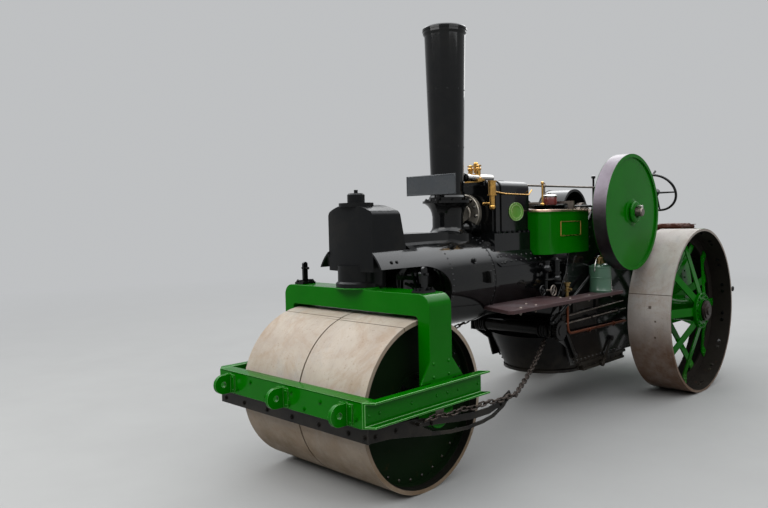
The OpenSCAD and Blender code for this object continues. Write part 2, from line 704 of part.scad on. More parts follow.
cover_y = hornplate_y + cover_t;
cover_top_z = crank_axis_z + 22;
cover_corner_r = 88;
module cover_corner(x0, x1, y0, y1, r) {
    translate([x0, y0]) square([x1 - x0 - r, y1 - y0]);
    translate([x0, y0]) square([x1 - x0, y1 - y0 - r]);
    intersection() {
        translate([x1 - r, y1 - r]) circle(r);
        translate([x1 - r - 1, y0]) square([r + 1, y1 - y0]);
    }
}
module motion_covers() {
    rear = crank_x + 270;
    inner_y = cyl_half_w + 2;
    front_x = cover_fold_x;
    color("green") engine() both_sides() difference() {
        union() {
            translate([0, 0, cover_low_z]) linear_extrude(cover_top_z - cover_low_z)
                cover_corner(rear, front_x, inner_y, cover_y, cover_corner_r);
            // beading round the top edge
            translate([0, 0, cover_top_z - 18]) linear_extrude(18)
                cover_corner(rear, front_x + 4, inner_y, cover_y + 4, cover_corner_r + 4);
        }
        translate([0, 0, cover_low_z - 1]) linear_extrude(cover_top_z - cover_low_z + 2)
            cover_corner(rear - 1, front_x - cover_t, inner_y - 1, cover_y - cover_t,
                cover_corner_r - cover_t);
        along_x(rear - 1, front_x + 10, 0, boiler_axis_z, boiler_r + saddle_t + 2 * seat_gap);
        block(rear - 1, firebox_front_x + 80, inner_y - 1, hornplate_y, cover_low_z - 1, cover_top_z + 1);
        // room for the cylinder's foot
        block(foot_rear_x, front_x + 10, inner_y - 1, foot_half_w + seat_gap, cover_low_z - 1,
            foot_top_z + seat_gap);
    }
}

gear_cover_y = hornplate_y + 140;
module gear_cover_outline(grow) {
    hull() {
        translate([crank_x, crank_axis_z]) circle(150 + grow);
        translate([crank_x - 360, crank_axis_z - 330]) circle(180 + grow);
    }
}
module gear_cover() {
    color("black") engine() difference() {
        profile_y(-gear_cover_y, -hornplate_y) gear_cover_outline(0);
        profile_y(-gear_cover_y + 6, -hornplate_y + 1) gear_cover_outline(-6);
    }
}

module rear_axle() {
    cap_y = hub_outer_y + turn_gap;
    color("dimgray") engine() {
        along_y(-cap_y - 1, cap_y + 1, 0, rear_wheel_r, rear_axle_r);
        both_sides() {
            along_y(cap_y, cap_y + 16, 0, rear_wheel_r, 92);
            along_y(cap_y + 16, cap_y + 28, 0, rear_wheel_r, 74);
            along_y(cap_y + 28, cap_y + 40, 0, rear_wheel_r, 40);
        }
    }
}

board_inner_y = hornplate_y + 66;
board_barrel_y = boiler_r - 40;
// Where the boards reach in to the barrel, ahead of the hornplates
board_step_x = horn_front(board_top_z - board_t) + seat_gap;
module running_boards() {
    color("saddlebrown") engine() both_sides() {
        difference() {
            translate([0, 0, board_top_z - board_t]) linear_extrude(board_t)
                polygon([
                    [board_rear_x, board_inner_y], [board_step_x, board_inner_y],
                    [board_step_x, board_barrel_y - 40],
                    [board_front_x - 150, board_barrel_y - 40], [board_front_x, board_outer_y - 30],
                    [board_front_x - 30, board_outer_y], [board_rear_x, board_outer_y]]);
            along_x(1500, smokebox_rear_x, 0, boiler_axis_z, boiler_r + seat_gap);
            along_x(smokebox_rear_x - 1, 3000, 0, boiler_axis_z, smokebox_r + seat_gap);
        }
    }
}

module board_brackets() {
    under = board_top_z - board_t;
    color("black") engine() both_sides() {
        for (x = [1060, 1450]) {
            block(x - 25, x + 25, hornplate_y, board_outer_y - 40, under - 12, under);
            block(x - 25, x + 25, hornplate_y, hornplate_y + 12, under - 130, under);
        }
        for (x = [board_step_x + 40, 2250]) difference() {
            block(x - 25, x + 25, 200, board_outer_y - 40, under - 12, under);
            along_x(x - 30, x + 30, 0, boiler_axis_z, boiler_r + seat_gap);
        }
    }
}

can_x = 1310;
can_y = 535;
can_r = 66;
module oil_can() {
    neck_z = board_top_z + 262;
    color("darkseagreen") engine() translate([can_x, can_y, 0]) {
        translate([0, 0, board_top_z]) rotate_extrude()
            polygon([
                [0, 0], [can_r, 0], [can_r, 8], [can_r - 3, 12], [can_r - 3, 182], [can_r + 1, 186],
                [can_r + 1, 192], [can_r - 6, 202], [can_r - 26, 224], [26, 232], [26, 258], [31, 260],
                [31, 274], [12, 280], [12, 290], [0, 290]]);
        // spout and carrying loop
        bar([-can_r + 10, 0, board_top_z + 150], [-can_r - 30, 0, neck_z - 4], 7);
        translate([0, 0, board_top_z + 205]) rotate([90, 0, 0]) rotate([0, 0, 20])
            rotate_extrude(angle = 140) translate([can_r - 8, 0]) circle(4);
    }
}

pipe_r = 14;
pipe_y = hornplate_y + 150;
module copper_pipe() {
    low_z = 704;
    elbow_r = 42;
    front_x = firebox_front_x + 192;
    rear_x0 = crank_x - 85;
    color("peru") engine() {
        along_z(low_z + elbow_r, board_top_z - board_t - seat_gap, front_x, pipe_y, pipe_r);
        translate([front_x, pipe_y, low_z + elbow_r]) bend(elbow_r, pipe_r);
        along_x(rear_x0, front_x - elbow_r, pipe_y, low_z, pipe_r);
        translate([rear_x0, pipe_y, low_z]) sphere(pipe_r + 2);
        along_y(hornplate_y + seat_gap, pipe_y, rear_x0, low_z, pipe_r);
        for (x = [rear_x0 + 260, front_x - 150]) along_x(x, x + 24, pipe_y, low_z, pipe_r + 6);
        along_z(board_top_z - board_t - 26, board_top_z - board_t - seat_gap, front_x, pipe_y, pipe_r + 7);
        // cock on top of the board
        translate([front_x, pipe_y, board_top_z]) rotate_extrude()
            polygon([
                [0, 0], [30, 0], [30, 8], [16, 12], [16, 40], [24, 44], [24, 70], [16, 74], [16, 96],
                [27, 98], [27, 108], [0, 108]]);
        bar([front_x, pipe_y, board_top_z + 57], [front_x + 50, pipe_y, board_top_z + 57], 8);
    }
}

module boiler_fittings() {
    pump_low_z = board_top_z + 104;
    pump_x = horn_front(pump_low_z) + 50;
    pump_y = boiler_r + 52;
    clack_x = pump_x + 150;
    clack_z = boiler_axis_z + 40;
    color("black") engine() {
        difference() {
            union() {
                // flanged necks on the barrel
                for (p = [[pump_x, clack_z], [clack_x, clack_z]]) {
                    along_y(boiler_r - 60, pump_y, p[0], p[1], 24);
                    along_y(boiler_r - 12, boiler_r + 12, p[0], p[1], 42);
                }
            }
            along_x(firebox_front_x + 1, clack_x + 100, 0, boiler_axis_z, boiler_r + seat_gap);
        }
        // pump body, with its flanges and cap
        translate([pump_x, pump_y, 0]) {
            translate([0, 0, pump_low_z]) cylinder(r = 30, h = 196);
            for (z = [0, 82, 182]) translate([0, 0, pump_low_z + z]) cylinder(r = 44, h = 14);
            translate([0, 0, pump_low_z + 41]) sphere(42);
            translate([0, 0, pump_low_z + 196]) cylinder(r1 = 26, r2 = 12, h = 20);
        }
        // clack box, its cap and the pipe between the two
        translate([clack_x, pump_y, clack_z]) {
            sphere(40);
            cylinder(r = 26, h = 66);
            translate([0, 0, 52]) cylinder(r = 34, h = 12);
            translate([0, 0, -70]) cylinder(r = 15, h = 50);
        }
        pipe([
            [clack_x, pump_y, clack_z - 65], [clack_x, pump_y, pump_low_z + 41],
            [pump_x + 30, pump_y, pump_low_z + 41]], 14);
        // stop valve with its hand wheel
        translate([clack_x + 40, pump_y - 10, board_top_z + 62]) {
            rotate([-90, 0, 0]) rotate_extrude() translate([40, 0]) circle(6);
            for (a = [0:60:120]) rotate([0, a, 0]) translate([-38, -3, -4]) cube([76, 6, 8]);
            rotate([-90, 0, 0]) translate([0, 0, -40]) cylinder(r = 9, h = 56);
        }
        bar([clack_x, pump_y - 10, board_top_z + 62], [clack_x + 40, pump_y - 30, board_top_z + 62], 12);
        along_z(board_top_z + 50, board_top_z + 146, clack_x, pump_y - 4, 14);
    }
}

module ash_pan() {
    low_z = firebox_bottom_z - 215;
    rear_x0 = firebox_back_x + 20;
    side_y = firebox_half_w;
    cone_x = firebox_front_x - 225;
    high_z = barrel_z - barrel_r - 30;
    color("black") engine() {
        difference() {
            union() {
                // straight rear part
                block(rear_x0, cone_x, -side_y, side_y, low_z, firebox_bottom_z);
                // bowed front, wider at its top
                intersection() {
                    translate([cone_x, 0, low_z])
                        cylinder(r1 = side_y - 50, r2 = side_y + 88, h = high_z - low_z);
                    block(rear_x0 + 100, barrel_x + 60, -side_y, side_y, low_z, high_z);
                }
                // rim round the bottom
                intersection() {
                    along_z(low_z - 8, low_z + 14, cone_x, 0, side_y - 32);
                    block(rear_x0 + 100, barrel_x + 60, -side_y - 12, side_y + 12, low_z - 9, low_z + 15);
                }
                block(rear_x0, cone_x, -side_y - 12, side_y + 12, low_z - 8, low_z + 14);
                // ledge along the sides, under the hornplates
                both_sides() block(rear_x0, cone_x + 100, side_y - 1, hornplate_y + 12, hornplate_low_z - 24,
                    hornplate_low_z);
            }
            // the firebox above
            block(rear_x0 - 1, firebox_front_x + seat_gap, -side_y - 20, side_y + 20, firebox_bottom_z,
                high_z + 1);
        }
    }
}

bunker_front = tank_front + 30;
filler_x = tender_rear - 140;
filler_half = 110;
filler_y = -tender_half_w + 150;
filler_top_z = tank_deck_z + 150;
module tender() {
    color("green") engine() {
        difference() {
            union() {
                difference() {
                    block(-tender_rear, -hornplate_rear, -tender_half_w, tender_half_w, tender_low_z,
                        tender_top_z);
                    // footplate space, open to the front
                    block(-tank_front, -hornplate_rear + 1, -tender_half_w + tender_t,
                        tender_half_w - tender_t, footplate_z, tender_top_z + 1);
                    // coal bunker above the tank
                    block(-tender_rear + tender_t, -bunker_front, -tender_half_w + tender_t,
                        tender_half_w - tender_t, tank_deck_z, tender_top_z + 1);
                }
                // coping round the top edges
                difference() {
                    block(-tender_rear - 8, -hornplate_rear, -tender_half_w - 8, tender_half_w + 8,
                        tender_top_z - 24, tender_top_z);
                    block(-tender_rear + tender_t, -hornplate_rear + 1, -tender_half_w + tender_t,
                        tender_half_w - tender_t, tender_top_z - 25, tender_top_z + 1);
                }
                // water filler in the bunker's corner
                block(-tender_rear, -filler_x, filler_y - filler_half, filler_y + filler_half,
                    tank_deck_z - 1, filler_top_z);
                // footplate between the hornplates
                block(-hornplate_rear - 1, firebox_back_x - seat_gap, -firebox_half_w + seat_gap,
                    firebox_half_w - seat_gap, footplate_z - 12, footplate_z);
            }
            // room for the rear axle under the footplate, whatever the wheels measure
            along_y(-hornplate_y, hornplate_y, 0, rear_wheel_r, rear_axle_r + turn_gap);
            both_sides()
                along_y(hornplate_y - 71, hornplate_y + 61, 0, rear_wheel_r, rear_axle_r + 60 + seat_gap);
        }
    }
}

module driver_seat() {
    color("maroon") engine() {
        block(-tender_rear + 200, -tank_front + 60, 180, tender_half_w, tender_top_z, tender_top_z + 60);
    }
}

lid_hinge_x = -filler_x + 12;
lid_hinge_z = filler_top_z + 6;
module tank_lid() {
    color("black") engine() {
        block(-tender_rear + 20, -filler_x, filler_y - filler_half + 10, filler_y + filler_half - 10,
            filler_top_z, filler_top_z + 12);
        along_y(filler_y - 60, filler_y + 60, lid_hinge_x, lid_hinge_z, 6);
        block(-filler_x - 5, lid_hinge_x, filler_y - 60, filler_y + 60, filler_top_z + 2, filler_top_z + 10);
    }
}

module fire_door() {
    door_x = firebox_back_x - seat_gap;
    color("black") engine() difference() {
        union() {
            along_x(door_x - fire_door_t, door_x, 0, fire_hole_z, fire_door_r);
            block(door_x - fire_door_t - 8, door_x - fire_door_t, -100, hinge_y, hinge_z - 26, hinge_z + 26);
            along_z(hinge_z - 80, hinge_z + 80, hinge_x, hinge_y, hinge_r + 7);
        }
        along_z(hinge_z - 81, hinge_z + 81, hinge_x, hinge_y, hinge_r + run_fit);
    }
}

module steering_column() {
    at = worm_pos + bearing_at * shaft_dir;
    color("black") engine() difference() {
        union() {
            translate(at) rotate([0, -90 + column_slope, 0]) cylinder(r = 30, h = 70, center = true);
            translate([at.x, 0, at.z]) rotate([0, column_slope, 0])
                block(-30, 30, hornplate_y, column_y, -15, 15);
        }
        translate(at) rotate([0, -90 + column_slope, 0])
            cylinder(r = column_r + run_fit, h = 200, center = true);
    }
}

module steering_wheel() {
    color("black") engine() translate(worm_pos) rotate([0, -90 + column_slope, 0]) {
        translate([0, 0, -70]) cylinder(r = column_r, h = column_len + 90);
        // worm, shown as rings
        translate([0, 0, -45]) cylinder(r = worm_r - 7, h = 90);
        for (k = [0:4]) translate([0, 0, -42 + 18 * k]) {
            cylinder(r1 = worm_r - 6, r2 = worm_r, h = 4);
            translate([0, 0, 4]) cylinder(r = worm_r, h = 4);
            translate([0, 0, 8]) cylinder(r1 = worm_r, r2 = worm_r - 6, h = 4);
        }
        for (z = [bearing_at - 52, bearing_at + 38]) translate([0, 0, z]) cylinder(r = column_r + 8, h = 14);
        translate([0, 0, column_len]) {
            rotate_extrude() translate([hand_wheel_r - 12, 0]) circle(12);
            cylinder(r = 34, h = 44, center = true);
            translate([0, 0, 22]) cylinder(r = 20, h = 14);
            for (a = [0:90:270]) rotate([0, 0, a]) translate([20, 0, 0]) rotate([0, 90, 0])
                cylinder(r1 = 11, r2 = 8, h = hand_wheel_r - 32);
            // turning knob on the rim
            translate([hand_wheel_r - 12, 0, 10]) cylinder(r1 = 9, r2 = 14, h = 70);
        }
    }
}

module gear_outline(tip_r, depth, count) {
    polygon([for (k = [0:4 * count - 1])
        let(a = 360 * (k + 0.5) / (4 * count), r = k % 4 < 2 ? tip_r : tip_r - depth)
            [r * cos(a), r * sin(a)]]);
}
module chain_barrel() {
    drum_y = firebox_half_w - turn_gap;
    color("dimgray") engine() {
        along_y(-drum_y, drum_y, barrel_x, barrel_z, barrel_r - 8);
        both_sides() {
            for (y = [chain_y - 52, chain_y + 34]) along_y(y, y + 12, barrel_x, barrel_z, barrel_r + 8);
            // chain coiled round the barrel
            for (k = [-1:1]) translate([barrel_x, chain_y + 24 * k, barrel_z]) rotate([90, 0, 0])
                rotate_extrude() translate([barrel_r - 4, 0]) circle(9);
        }
        along_y(-hornplate_y - 20, column_y + 24, barrel_x, barrel_z, barrel_pin_r);
        // worm wheel
        along_y(column_y - 24, column_y + 24, barrel_x, barrel_z, 44);
        translate([barrel_x, 0, barrel_z]) profile_y(column_y - 18, column_y + 18)
            gear_outline(worm_wheel_r, 9, worm_wheel_teeth);
    }
}

arm_y = fork_outer_y + 9;
arm_t = 12;
// Rear tip of the side arms and the eye for the chain, from the front axle
arm_tip = 700;
arm_eye_x = 240;
arm_eye_z = -18;
link_pitch = 62;
link_w = 38;
chain_y = 318;
chain_out_y = arm_y + arm_t + 25;
// One flat link, its length along X
module link(wide) {
    ring = wide / 3.4;
    translate([0, 0, -ring / 2]) linear_extrude(ring) difference() {
        union() {
            for (s = [-1, 1]) translate([s * link_pitch / 2, 0]) circle(wide / 2, $fn = 8);
            translate([-link_pitch / 2, -wide / 2 * cos(22.5)]) square([link_pitch, wide * cos(22.5)]);
        }
        translate([-link_pitch / 2, ring - wide / 2]) square([link_pitch, wide - 2 * ring]);
    }
}
// Links between two points, each a quarter turn on from the last
module links(a, b) {
    d = b - a;
    count = floor(norm(d) / link_pitch);
    for (k = [0:count - 1])
        translate(a + d * (k + 0.5) / count) rotate([0, -asin(d.z / norm(d)), atan2(d.y, d.x)])
            rotate([k % 2 == 0 ? 45 : -45, 0, 0]) link(link_w);
}
module chain(side) {
    // from under or over the barrel to the side arm, then along the arm to its eye
    coil_r = barrel_r + (side > 0 ? 20 : 18.4);
    start = [barrel_x + 20, side * chain_y, barrel_z - side * coil_r];
    corner = [wheelbase - arm_tip - 20, side * chain_out_y, roll_r - 52];
    eye = [wheelbase + arm_eye_x - 34, side * chain_out_y, roll_r + arm_eye_z];
    color("dimgray") engine() {
        links(start, corner);
        links(corner, eye);
    }
}
module chain_left() { chain(1); }
module chain_right() { chain(-1); }

drawbar_t = 50;
drawbar_z = 640;
pin_x = -tender_rear - 66;
pin_r = 20;
module drawbar() {
    color("black") engine() {
        difference() {
            union() {
                block(pin_x, -tender_rear, -44, 44, drawbar_z - drawbar_t / 2, drawbar_z + drawbar_t / 2);
                along_z(drawbar_z - drawbar_t / 2, drawbar_z + drawbar_t / 2, pin_x, 0, 44);
                block(-tender_rear - 16, -tender_rear, -120, 120, drawbar_z - 70, drawbar_z + 90);
            }
            along_z(drawbar_z - drawbar_t, drawbar_z + drawbar_t, pin_x, 0, pin_r);
        }
    }
}

module fork() {
    leg_corner_r = 78;
    inner_corner_r = 26;
    corner_y = fork_inner_y - inner_corner_r;
    corner_z = beam_low - inner_corner_r;
    gusset_low = channel_low + channel_h + 2;
    color("green") front() {
        difference() {
            union() {
                profile_x(-fork_rear, fork_front) difference() {
                    arched(fork_outer_y, -70, beam_top, leg_corner_r);
                    difference() {
                        translate([-fork_inner_y, -71]) square([2 * fork_inner_y, beam_low + 71]);
                        // fillets inside the two upper corners
                        for (s = [-1, 1]) difference() {
                            translate([s > 0 ? corner_y : -fork_inner_y, corner_z]) square(inner_corner_r);
                            translate([s * corner_y, corner_z]) circle(inner_corner_r);
                        }
                    }
                }
                // axle boss at the foot of each leg
                both_sides() along_y(fork_inner_y, fork_outer_y, 0, -20, 96);
            }
            along_y(-fork_outer_y - 1, fork_outer_y + 1, 0, 0, front_axle_r + run_fit);
        }
        along_z(beam_top, beam_top + fork_boss_h, 0, 0, neck_r + 24);
        along_z(beam_top, headstock_top_z - roll_r - 6, 0, 0, kingpin_r);
        // gussets in front of and behind each leg
        both_sides() profile_y(fork_outer_y - 16, fork_outer_y) {
            polygon([
                [-fork_rear, gusset_low + 128], [-fork_rear - 104, gusset_low], [-fork_rear, gusset_low]]);
            polygon([
                [fork_front, gusset_low + 128], [fork_front + 84, gusset_low], [fork_front, gusset_low]]);
        }
    }
}

module fork_posts() {
    post_y = fork_outer_y - 118;
    color("black") front() both_sides() {
        block(-70, 46, post_y - 50, post_y + 42, beam_top, beam_top + 14);
        block(-34, 4, post_y - 9, post_y + 9, beam_top + 13, beam_top + 138);
        along_y(post_y - 9, post_y + 9, -15, beam_top + 138, 19);
        along_y(post_y - 40, post_y + 30, -15, beam_top + 112, 9);
        for (x = [-54, 30]) along_z(beam_top + 13, beam_top + 30, x, post_y - 6, 13);
    }
}

module front_axle() {
    color("dimgray") front() {
        along_y(-fork_outer_y, fork_outer_y, 0, 0, front_axle_r);
        // keeper plates between the fork's feet and the side arms, each with its tenon in the axle
        both_sides() {
            block(-30, 30, fork_outer_y, arm_y, -52, -28);
            block(-20, 20, fork_outer_y - 5, arm_y, -34, -28);
        }
    }
}

module channel_section() {
    difference() {
        square([channel_flange, channel_h]);
        translate([channel_t, channel_t]) square([channel_flange, channel_h - 2 * channel_t]);
    }
}
lug_z = channel_low + 66;
lug_y = 566;
module towing_frame() {
    color("green") front() {
        // channel across the front, its flanges pointing back
        translate([frame_front, channel_y - seat_gap, channel_low]) rotate([90, 0, 0])
            linear_extrude(2 * (channel_y - seat_gap)) mirror([1, 0]) channel_section();
        for (y = [-lug_y, 0, lug_y]) difference() {
            union() {
                // base plate of the lug on the channel's web
                block(frame_front, frame_front + 9, y - 52, y + 52, lug_z - 58, lug_z + 58);
                along_y(y - lug_t / 2, y + lug_t / 2, lug_hole_x, lug_z, lug_end_r);
                block(frame_front, lug_hole_x, y - lug_t / 2, y + lug_t / 2, lug_z - lug_end_r,
                    lug_z + lug_end_r);
            }
            along_y(y - lug_t, y + lug_t, lug_hole_x, lug_z, lug_hole_r);
        }
    }
}

// Length of the oblique cut at the ends of the side channels' flanges
flange_cut = 45;
module side_channels() {
    color("green") front() both_sides() intersection() {
        translate([-channel_rear, channel_y, channel_low]) rotate([90, 0, 90])
            linear_extrude(channel_rear + frame_front) channel_section();
        translate([0, 0, channel_low]) linear_extrude(channel_h)
            polygon([
                [-channel_rear + flange_cut, channel_y], [frame_front, channel_y],
                [frame_front - flange_cut, channel_outer_y], [-channel_rear, channel_outer_y]]);
    }
}

module arm_outline() {
    difference() {
        // outer edge of the two joined bars, front to back above and back to front below
        polygon([
            [frame_front - 20, channel_low - 2], [420, 8], [arm_eye_x, -6], [60, -34], [-150, -64],
            [-320, -82], [-470, -84], [-600, -62], [-arm_tip, -18], [-arm_tip - 14, -52], [-630, -116],
            [-520, -158], [-400, -174], [-250, -176], [-80, -162], [90, -136], [300, -96], [450, -70],
            [frame_front - 20, -58]]);
        // slot between them
        polygon([
            [190, -60], [40, -78], [-150, -106], [-320, -124], [-470, -126], [-560, -108], [-575, -118],
            [-500, -142], [-400, -152], [-250, -154], [-80, -140], [90, -112]]);
    }
}
module roll_scrapers() {
    bar_front_x = frame_front - 20;
    bar_half_w = arm_y + arm_t;
    color("black") front() {
        // blade behind the front channel and the bar that carries it
        block(roll_r + 25, bar_front_x, -bar_half_w, bar_half_w, channel_low - 22, channel_low - seat_gap);
        block(bar_front_x - 14, bar_front_x, -bar_half_w, bar_half_w, channel_low - 85, channel_low - 21);
        both_sides() {
            profile_y(arm_y, arm_y + arm_t) arm_outline();
            // shackle that takes the chain
            along_y(arm_y + arm_t - 1, chain_out_y + 14, arm_eye_x, arm_eye_z - 14, 10);
        }
    }
}

module front_roll(side) {
    half_gap = roll_gap / 2;
    inner_r = roll_r - roll_rim;
    disc_y = roll_half_w - 110;
    hub_y = roll_half_w + fork_side_gap - turn_gap;
    color("darkgray") front() mirror([0, side < 0 ? 1 : 0, 0]) difference() {
        union() {
            difference() {
                along_y(half_gap, roll_half_w, 0, 0, roll_r);
                along_y(half_gap - 1, roll_half_w + 1, 0, 0, inner_r);
            }
            // angle ring inside the rim, end disc with its centre plate, hub
            difference() {
                along_y(disc_y + 16, disc_y + 62, 0, 0, inner_r + 1);
                along_y(disc_y + 15, disc_y + 63, 0, 0, inner_r - 12);
            }
            along_y(disc_y, disc_y + 16, 0, 0, inner_r + 1);
            along_y(disc_y + 15, disc_y + 30, 0, 0, 190);
            along_y(half_gap + 20, half_gap + 36, 0, 0, inner_r + 1);
            along_y(half_gap, hub_y - 40, 0, 0, 112);
            along_y(half_gap, hub_y, 0, 0, 84);
        }
        along_y(0, fork_inner_y, 0, 0, front_axle_r + run_fit);
    }
}
module front_roll_left() { front_roll(1); }
module front_roll_right() { front_roll(-1); }

module rear_rim(side) {
    color("darkgray") engine() translate([0, 0, rear_wheel_r]) mirror([0, side < 0 ? 1 : 0, 0]) {
        difference() {
            along_y(rear_wheel_inner_y, wheel_outer_y, 0, 0, rear_wheel_r);
            along_y(rear_wheel_inner_y - 1, wheel_outer_y + 1, 0, 0, rear_wheel_r - rear_rim_t);
        }
        difference() {
            along_y(wheel_mid_y - ring_half_t, wheel_mid_y + ring_half_t, 0, 0,
                rear_wheel_r - rear_rim_t + 1);
            along_y(wheel_mid_y - ring_half_t - 1, wheel_mid_y + ring_half_t + 1, 0, 0,
                rear_wheel_r - rear_rim_t - ring_depth);
        }
    }
}
module rear_wheel_left() { rear_rim(1); }
module rear_wheel_right() { rear_rim(-1); }

ring_half_t = 8;
ring_depth = 90;
spoke_t = 12;
spoke_w = 76;
spoke_root_r = 120;
spoke_foot_r = rear_wheel_r - rear_rim_t - 22;
hub_disc_t = 25;
hub_disc_in = 20;
module spoke(root_y, foot_y) {
    // a flat bar from the hub's disc, bent to lie on the rim's ring
    translate([0, 0, -spoke_w / 2]) linear_extrude(spoke_w)
        polygon([
            [spoke_root_r, root_y], [170, root_y], [spoke_foot_r - 90, foot_y], [spoke_foot_r, foot_y],
            [spoke_foot_r, foot_y + spoke_t], [spoke_foot_r - 92, foot_y + spoke_t], [168, root_y + spoke_t],
            [spoke_root_r, root_y + spoke_t]]);
}
module rear_spokes(side) {
    color("green") engine() translate([0, 0, rear_wheel_r]) mirror([0, side < 0 ? 1 : 0, 0]) difference() {
        union() {
            along_y(hub_inner_y, hub_outer_y, 0, 0, 105);
            along_y(hub_outer_y - hub_disc_in - hub_disc_t, hub_outer_y - hub_disc_in, 0, 0, 165);
            along_y(hub_inner_y + hub_disc_in, hub_inner_y + hub_disc_in + hub_disc_t, 0, 0, 165);
            for (k = [0:spoke_count - 1]) {
                rotate([0, 360 * k / spoke_count, 0])
                    spoke(hub_outer_y - hub_disc_in - hub_disc_t - spoke_t + 1, wheel_mid_y + ring_half_t);
                rotate([0, 360 * (k + 0.5) / spoke_count, 0])
                    spoke(hub_inner_y + hub_disc_in + hub_disc_t - 1, wheel_mid_y - ring_half_t - spoke_t);
            }
        }
        along_y(hub_inner_y - 1, hub_outer_y + 1, 0, 0, rear_axle_r + run_fit);
    }
}
module rear_spokes_left() { rear_spokes(1); }
module rear_spokes_right() { rear_spokes(-1); }

flywheel_outer_y = flywheel_inner_y + flywheel_w;
flywheel_rim_t = 30;
module flywheel() {
    disc_y = flywheel_outer_y - 34;
    color("green") engine() translate([crank_x, 0, crank_axis_z]) difference() {
        union() {
            difference() {
                along_y(flywheel_inner_y, flywheel_outer_y, 0, 0, flywheel_r);
                along_y(flywheel_inner_y - 1, flywheel_outer_y + 1, 0, 0, flywheel_r - flywheel_rim_t);
            }
            // disc near the outer edge, and the boss with its cones
            along_y(disc_y, disc_y + 20, 0, 0, flywheel_r - flywheel_rim_t + 1);
            along_y(flywheel_inner_y - 20, flywheel_outer_y + 10, 0, 0, 76);
            translate([0, flywheel_outer_y - 14, 0]) rotate([-90, 0, 0]) cylinder(r1 = 118, r2 = 76, h = 16);
            translate([0, disc_y, 0]) rotate([90, 0, 0]) cylinder(r1 = 130, r2 = 76, h = 40);
        }
        along_y(flywheel_inner_y - 21, flywheel_outer_y + 17, 0, 0, crankshaft_r + run_fit);
    }
}

crank_web_t = 56;
crank_pin_half = 58;
crank_pin_r = 33;
module crankshaft() {
    color("silver") engine() translate([crank_x, 0, crank_axis_z]) {
        along_y(crank_pin_half, flywheel_outer_y + 74, 0, 0, crankshaft_r);
        translate([0, flywheel_outer_y + 74, 0]) rotate([-90, 0, 0])
            cylinder(r1 = crankshaft_r, r2 = crankshaft_r - 8, h = 8);
        // key of the flywheel
        block(-9, 9, flywheel_outer_y + 11, flywheel_outer_y + 46, crankshaft_r - 4, crankshaft_r + 9);
        along_y(-gear_cover_y + 16, -crank_pin_half, 0, 0, crankshaft_r);
        for (s = [-1, 1]) translate([0, s * (crank_pin_half + crank_web_t / 2), 0])
            profile_y(-crank_web_t / 2, crank_web_t / 2) {
                circle(64);
                translate([crank_throw, 0]) circle(crank_pin_r + 18);
                polygon([
                    [0, 64], [0, -64], [crank_throw, -crank_pin_r - 18], [crank_throw, crank_pin_r + 18]]);
                // balance weight
                polygon([[10, 60], [-110, 88], [-132, 50], [-132, -50], [-110, -88], [10, -60]]);
            }
        along_y(-crank_pin_half - 1, crank_pin_half + 1, crank_throw, 0, crank_pin_r);
        // eccentrics of the valve gear, beside the web
        for (y = [150, 200]) {
            translate([y == 150 ? -24 : 24, 0, 12]) along_y(y, y + 34, 0, 0, 84);
            along_y(y + 4, y + 46, 0, 0, 60);
        }
    }
}

boiler_barrel();
firebox();
hornplates();
smokebox();
smokebox_door();
headstock();
chimney_base();
chimney();
number_plate();
cylinder_block();
cylinder_cover();
safety_valves();
lubricator();
saddle_plate();
motion_bars();
connecting_rod();
motion_covers();
gear_cover();
rear_axle();
running_boards();
board_brackets();
oil_can();
copper_pipe();
boiler_fittings();
ash_pan();
tender();
driver_seat();
tank_lid();
fire_door();
steering_column();
steering_wheel();
chain_barrel();
chain_left();
chain_right();
drawbar();
fork();
fork_posts();
front_axle();
towing_frame();
side_channels();
roll_scrapers();
front_roll_left();
front_roll_right();
rear_wheel_left();
rear_spokes_left();
rear_wheel_right();
rear_spokes_right();
flywheel();
crankshaft();
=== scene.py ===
import json
import math
import random
from functools import partial
from itertools import product

import bmesh
import bpy
from mathutils import Matrix, Vector


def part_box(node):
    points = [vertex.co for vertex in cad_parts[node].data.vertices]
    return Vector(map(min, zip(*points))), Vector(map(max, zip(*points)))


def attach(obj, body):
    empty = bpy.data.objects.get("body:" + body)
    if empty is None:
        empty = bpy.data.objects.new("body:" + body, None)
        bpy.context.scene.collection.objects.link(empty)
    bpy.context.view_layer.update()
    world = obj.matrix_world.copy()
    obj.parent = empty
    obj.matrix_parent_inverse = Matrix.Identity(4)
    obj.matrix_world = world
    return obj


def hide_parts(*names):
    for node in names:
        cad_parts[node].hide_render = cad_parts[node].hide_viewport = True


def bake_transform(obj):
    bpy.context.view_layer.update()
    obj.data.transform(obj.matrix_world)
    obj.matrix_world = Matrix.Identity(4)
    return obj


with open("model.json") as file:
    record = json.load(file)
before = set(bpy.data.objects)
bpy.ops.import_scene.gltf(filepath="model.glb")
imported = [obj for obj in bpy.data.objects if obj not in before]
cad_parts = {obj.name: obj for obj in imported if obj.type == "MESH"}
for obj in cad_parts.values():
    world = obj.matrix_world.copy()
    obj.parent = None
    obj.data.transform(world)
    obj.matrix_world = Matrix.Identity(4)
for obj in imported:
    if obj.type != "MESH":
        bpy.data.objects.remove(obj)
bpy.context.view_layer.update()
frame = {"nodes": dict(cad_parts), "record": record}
NODES = frame["nodes"]
SLOT_OF_NODE = {part["node"]: part["material_slot"] for part in frame["record"]["subparts"]}
BODIES = frame["record"]["behaviour"]["bodies"]
BODY_OF_NODE = {node: body for body, nodes in BODIES.items() for node in nodes}

